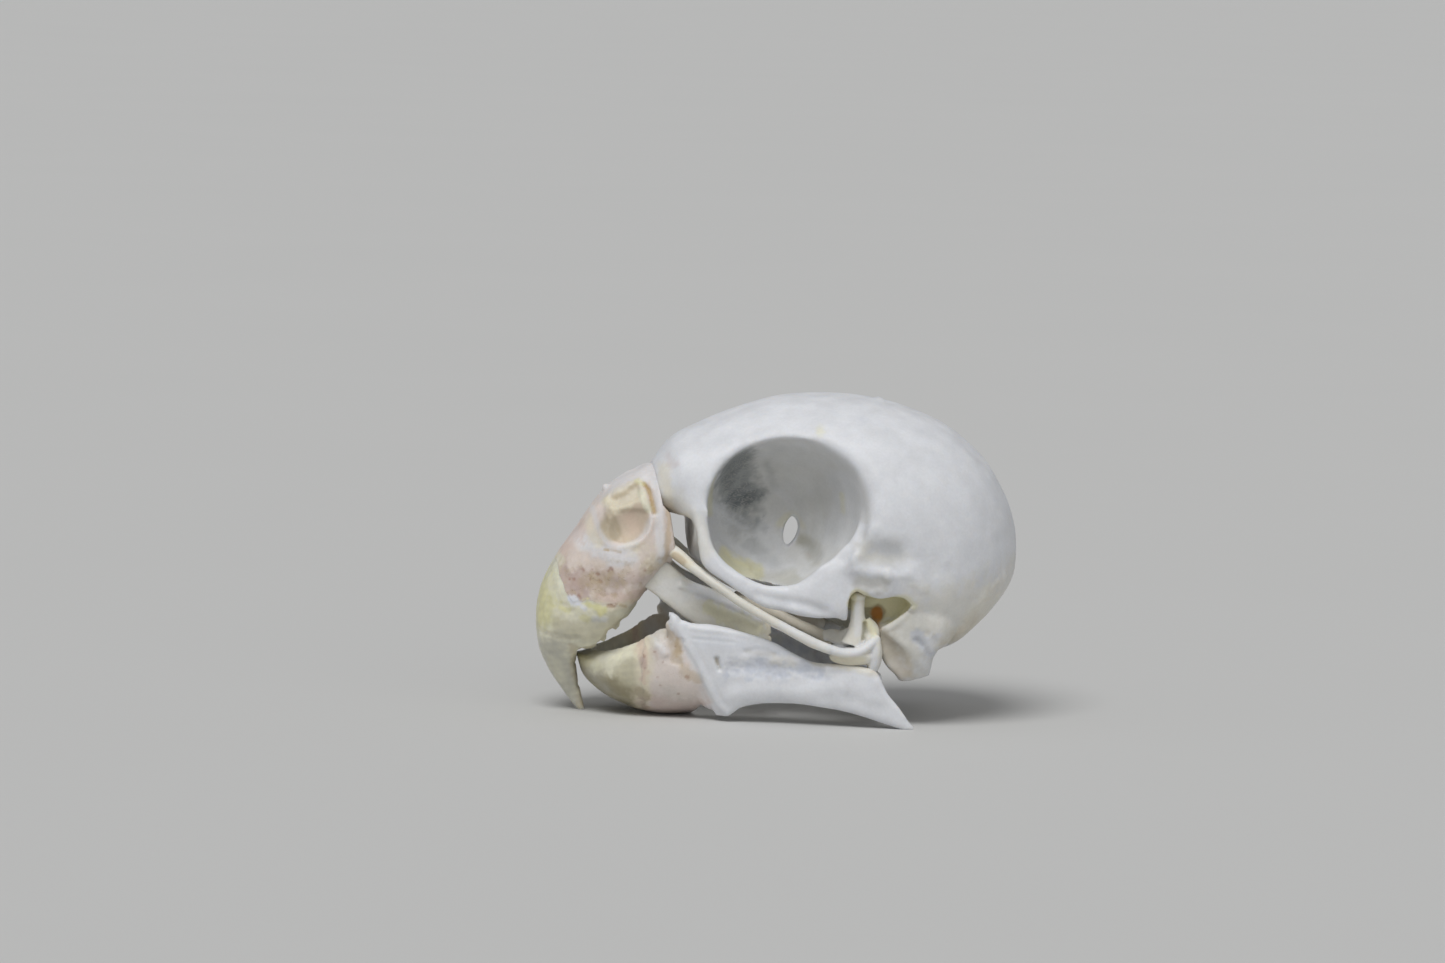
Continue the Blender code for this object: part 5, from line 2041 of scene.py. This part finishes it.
    def washes(self) -> dict[str, list[Wash]]:
        """Lists how each bone is stained and where shade is painted on the quadrate.

        Returns:
            The washes by bone.
        """
        return {
            "quadrate": [
                wash(WHITE_BONE, 0.85, ((2.2, 4.3), (3.0, 4.1), (4.0, 4.1), (4.9, 4.7)), 0.4),
                wash(PALE_YELLOW, 0.55, ((4.5, 5.5), (4.8, 5.0), (4.8, 4.7)), 0.4, 0.8, outer=6.3),
                wash(PALE_YELLOW, 0.5, ((3.7, 7.0), (3.6, 6.3)), 0.2),
                wash(WHITE_BONE, 0.5, ((3.9, 6.4), (3.9, 5.0)), 0.3),
                # Painted shade in the slit between the quadrate's two pillars.
                wash(OLIVE_SHADE, 0.7, ((4.32, 5.5), (4.3, 5.0), (4.25, 4.65)), 0.13, 0.9),
                # The groove under the ridge: its own yellowish grey, darkened by painted shade.
                wash(OLIVE, 0.35, ((2.4, 3.6), (3.4, 3.5), (4.2, 3.6)), 0.32),
                wash(CREAM, 0.5, ((2.4, 3.55), (4.1, 3.3)), 0.4),
                wash(WHITE_BONE, 0.8, ((4.8, 4.2), (4.75, 3.1)), 0.4),
                wash(GREY_BONE_AND_SHADE, 0.4, ((2.1, 4.95), (3.2, 4.6)), 0.4, outer=5.6),
            ],
            "jugal_bar": [
                wash(CREAM, 0.7, ((-6.0, 9.1), (-5.2, 8.6)), 0.5),
                wash(TAN, 0.6, ((-5.8, 9.0), (-5.4, 8.75)), 0.3),
                wash(GREY_BONE_AND_SHADE, 0.3, ((-3.6, 7.4), (-2.0, 6.4)), 0.5),
                wash(WHITE_BONE, 0.6, ((0.0, 5.5), (2.6, 4.2)), 0.5),
            ],
            "palatine": [
                wash(WHITE_BONE, 0.4, ((-6.2, 7.3), (-5.2, 6.8)), 0.9),
                wash(WHITE_BONE, 0.8, ((-4.6, 7.1), (-2.6, 6.1), (-1.2, 5.4)), 0.5),
                wash(PALE_YELLOW, 0.5, ((-3.8, 5.8), (-2.4, 5.3), (-1.2, 4.9)), 0.6, ragged=0.7),
                wash(GREY_BONE_AND_SHADE, 0.2, ((-2.6, 5.0), (-1.6, 4.6)), 0.5, ragged=0.5),
                wash(CREAM, 0.6, ((-0.6, 5.1), (-0.5, 4.2)), 0.3, ragged=0.6),
            ],
            "pterygoid": [wash(TAN, 0.4, ((-2.1, 6.3), (2.4, 4.6)), 0.6)],
        }

    def build(self, finish: BoneFinish) -> None:
        """Makes all eight pieces.

        Args:
            finish: the thin bone they are dressed in.
        """
        strokes, washes = self.strokes(), self.washes()
        material = finish.material()
        for name, right in self.forms().items():
            for side, form in ((Side.LEFT, mirrored(right)), (Side.RIGHT, right)):
                surface = Surface(form, WARM_BONE)
                surface.weather(0.7, 0.015)
                surface.shape(strokes.get(name, []))
                surface.stain_and_shade(washes[name])
                label = side.name.lower()
                surface.piece(f"{name}_bone_{label}", f"{name}_{label}", material)


@dataclass
class Studio:
    """The pale floor, the soft lights and the camera."""

    floor_size: float = 12.0
    floor_colours: tuple[Colour, Colour] = ((0.594, 0.594, 0.584), (0.606, 0.606, 0.596))
    floor_roughness: float = 0.8
    world_colour: Colour = (0.97, 0.98, 1.0)
    world_strength: float = 0.3
    # Each lamp: name, the direction it stands in, strength, and how wide it looks in degrees.
    lamps: tuple[tuple[str, Place, float, float], ...] = (
        ("key", (-0.3, -0.7, 1.2), 1.85, 32),
        ("fill", (0.5, -1.0, 0.32), 0.22, 70),
    )
    azimuth: float = -4.0
    elevation: float = 5.3
    distance: float = 354.0
    target: Place = (-2.92, 0.0, 12.62)
    millimetres_per_pixel: float = 0.0545
    photo_width: int = 1445
    sensor: float = 36.0

    def build(self) -> None:
        """Sets up everything that isn't the skull."""
        self.floor()
        self.world()
        for lamp in self.lamps:
            self.light(*lamp)
        self.camera()

    def floor(self) -> None:
        """A plain pale floor."""
        form = bmesh.new()
        bmesh.ops.create_grid(form, x_segments=8, y_segments=8, size=self.floor_size / 2)
        mesh = bpy.data.meshes.new("floor")
        form.to_mesh(mesh)
        form.free()
        made, shader, here = new_material("pale_floor")
        cloud = here.noise(here.millimetres(), 0.02, 3)
        here.join(here.mixed(*self.floor_colours, cloud), shader.inputs["Base Color"])
        shader.inputs["Roughness"].default_value = self.floor_roughness
        mesh.materials.append(made)
        floor = bpy.data.objects.new("floor", mesh)
        bpy.context.scene.collection.objects.link(floor)

    def world(self) -> None:
        """Even light from all round."""
        world = bpy.data.worlds.new("studio")
        world.use_nodes = True
        background = world.node_tree.nodes["Background"]
        background.inputs["Color"].default_value = (*self.world_colour, 1)
        background.inputs["Strength"].default_value = self.world_strength
        bpy.context.scene.world = world
        bpy.context.scene.view_settings.view_transform = "Standard"

    def light(self, name: str, towards: Place, strength: float, softness: float) -> None:
        """Adds one distant soft light.

        Args:
            name: its name.
            towards: the direction that it stands in.
            strength: how strong it is.
            softness: how wide it looks, in degrees.
        """
        lamp = bpy.data.lights.new(name, "SUN")
        lamp.energy = strength
        lamp.angle = math.radians(softness)
        made = bpy.data.objects.new(name, lamp)
        made.rotation_euler = Vector(towards).to_track_quat("Z", "Y").to_euler()
        bpy.context.scene.collection.objects.link(made)

    def camera(self) -> None:
        """The photograph's viewpoint, worked out on the measured skull and tipped with it."""
        turn, rise = math.radians(self.azimuth), math.radians(self.elevation)
        back = Vector((math.sin(turn) * math.cos(rise), -math.cos(turn) * math.cos(rise), math.sin(rise)))
        aim = back.to_track_quat("Z", "Y").to_matrix().to_4x4()
        posed = REST @ Matrix.Translation(Vector(self.target) + back * self.distance) @ aim
        posed.translation *= MM
        lens = bpy.data.cameras.new("photo")
        lens.sensor_width = self.sensor
        lens.lens = self.sensor * self.distance / self.millimetres_per_pixel / self.photo_width
        lens.clip_start = 0.01
        lens.clip_end = 30.0
        made = bpy.data.objects.new("photo", lens)
        made.matrix_world = posed
        bpy.context.scene.collection.objects.link(made)
        bpy.context.scene.camera = made


def main() -> None:
    """Builds the studio and every piece of the skull."""
    logging.basicConfig(level=logging.INFO, format="%(name)s: %(message)s")
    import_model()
    Studio().build()
    white = BoneFinish("white_bone")
    porous = BoneFinish("porous_bone", roughness=(0.5, 0.66), mottle=0.1, blotches=0.5, bump=0.5)
    thin = BoneFinish("thin_bone_finish", glow=0.25)
    horn = HornFinish("worn_horn")
    Cranium().build(white)
    UpperBill().build(porous, horn)
    LowerJaw().build(white, horn)
    PairedBones().build(thin)


if __name__ == "__main__":
    main()
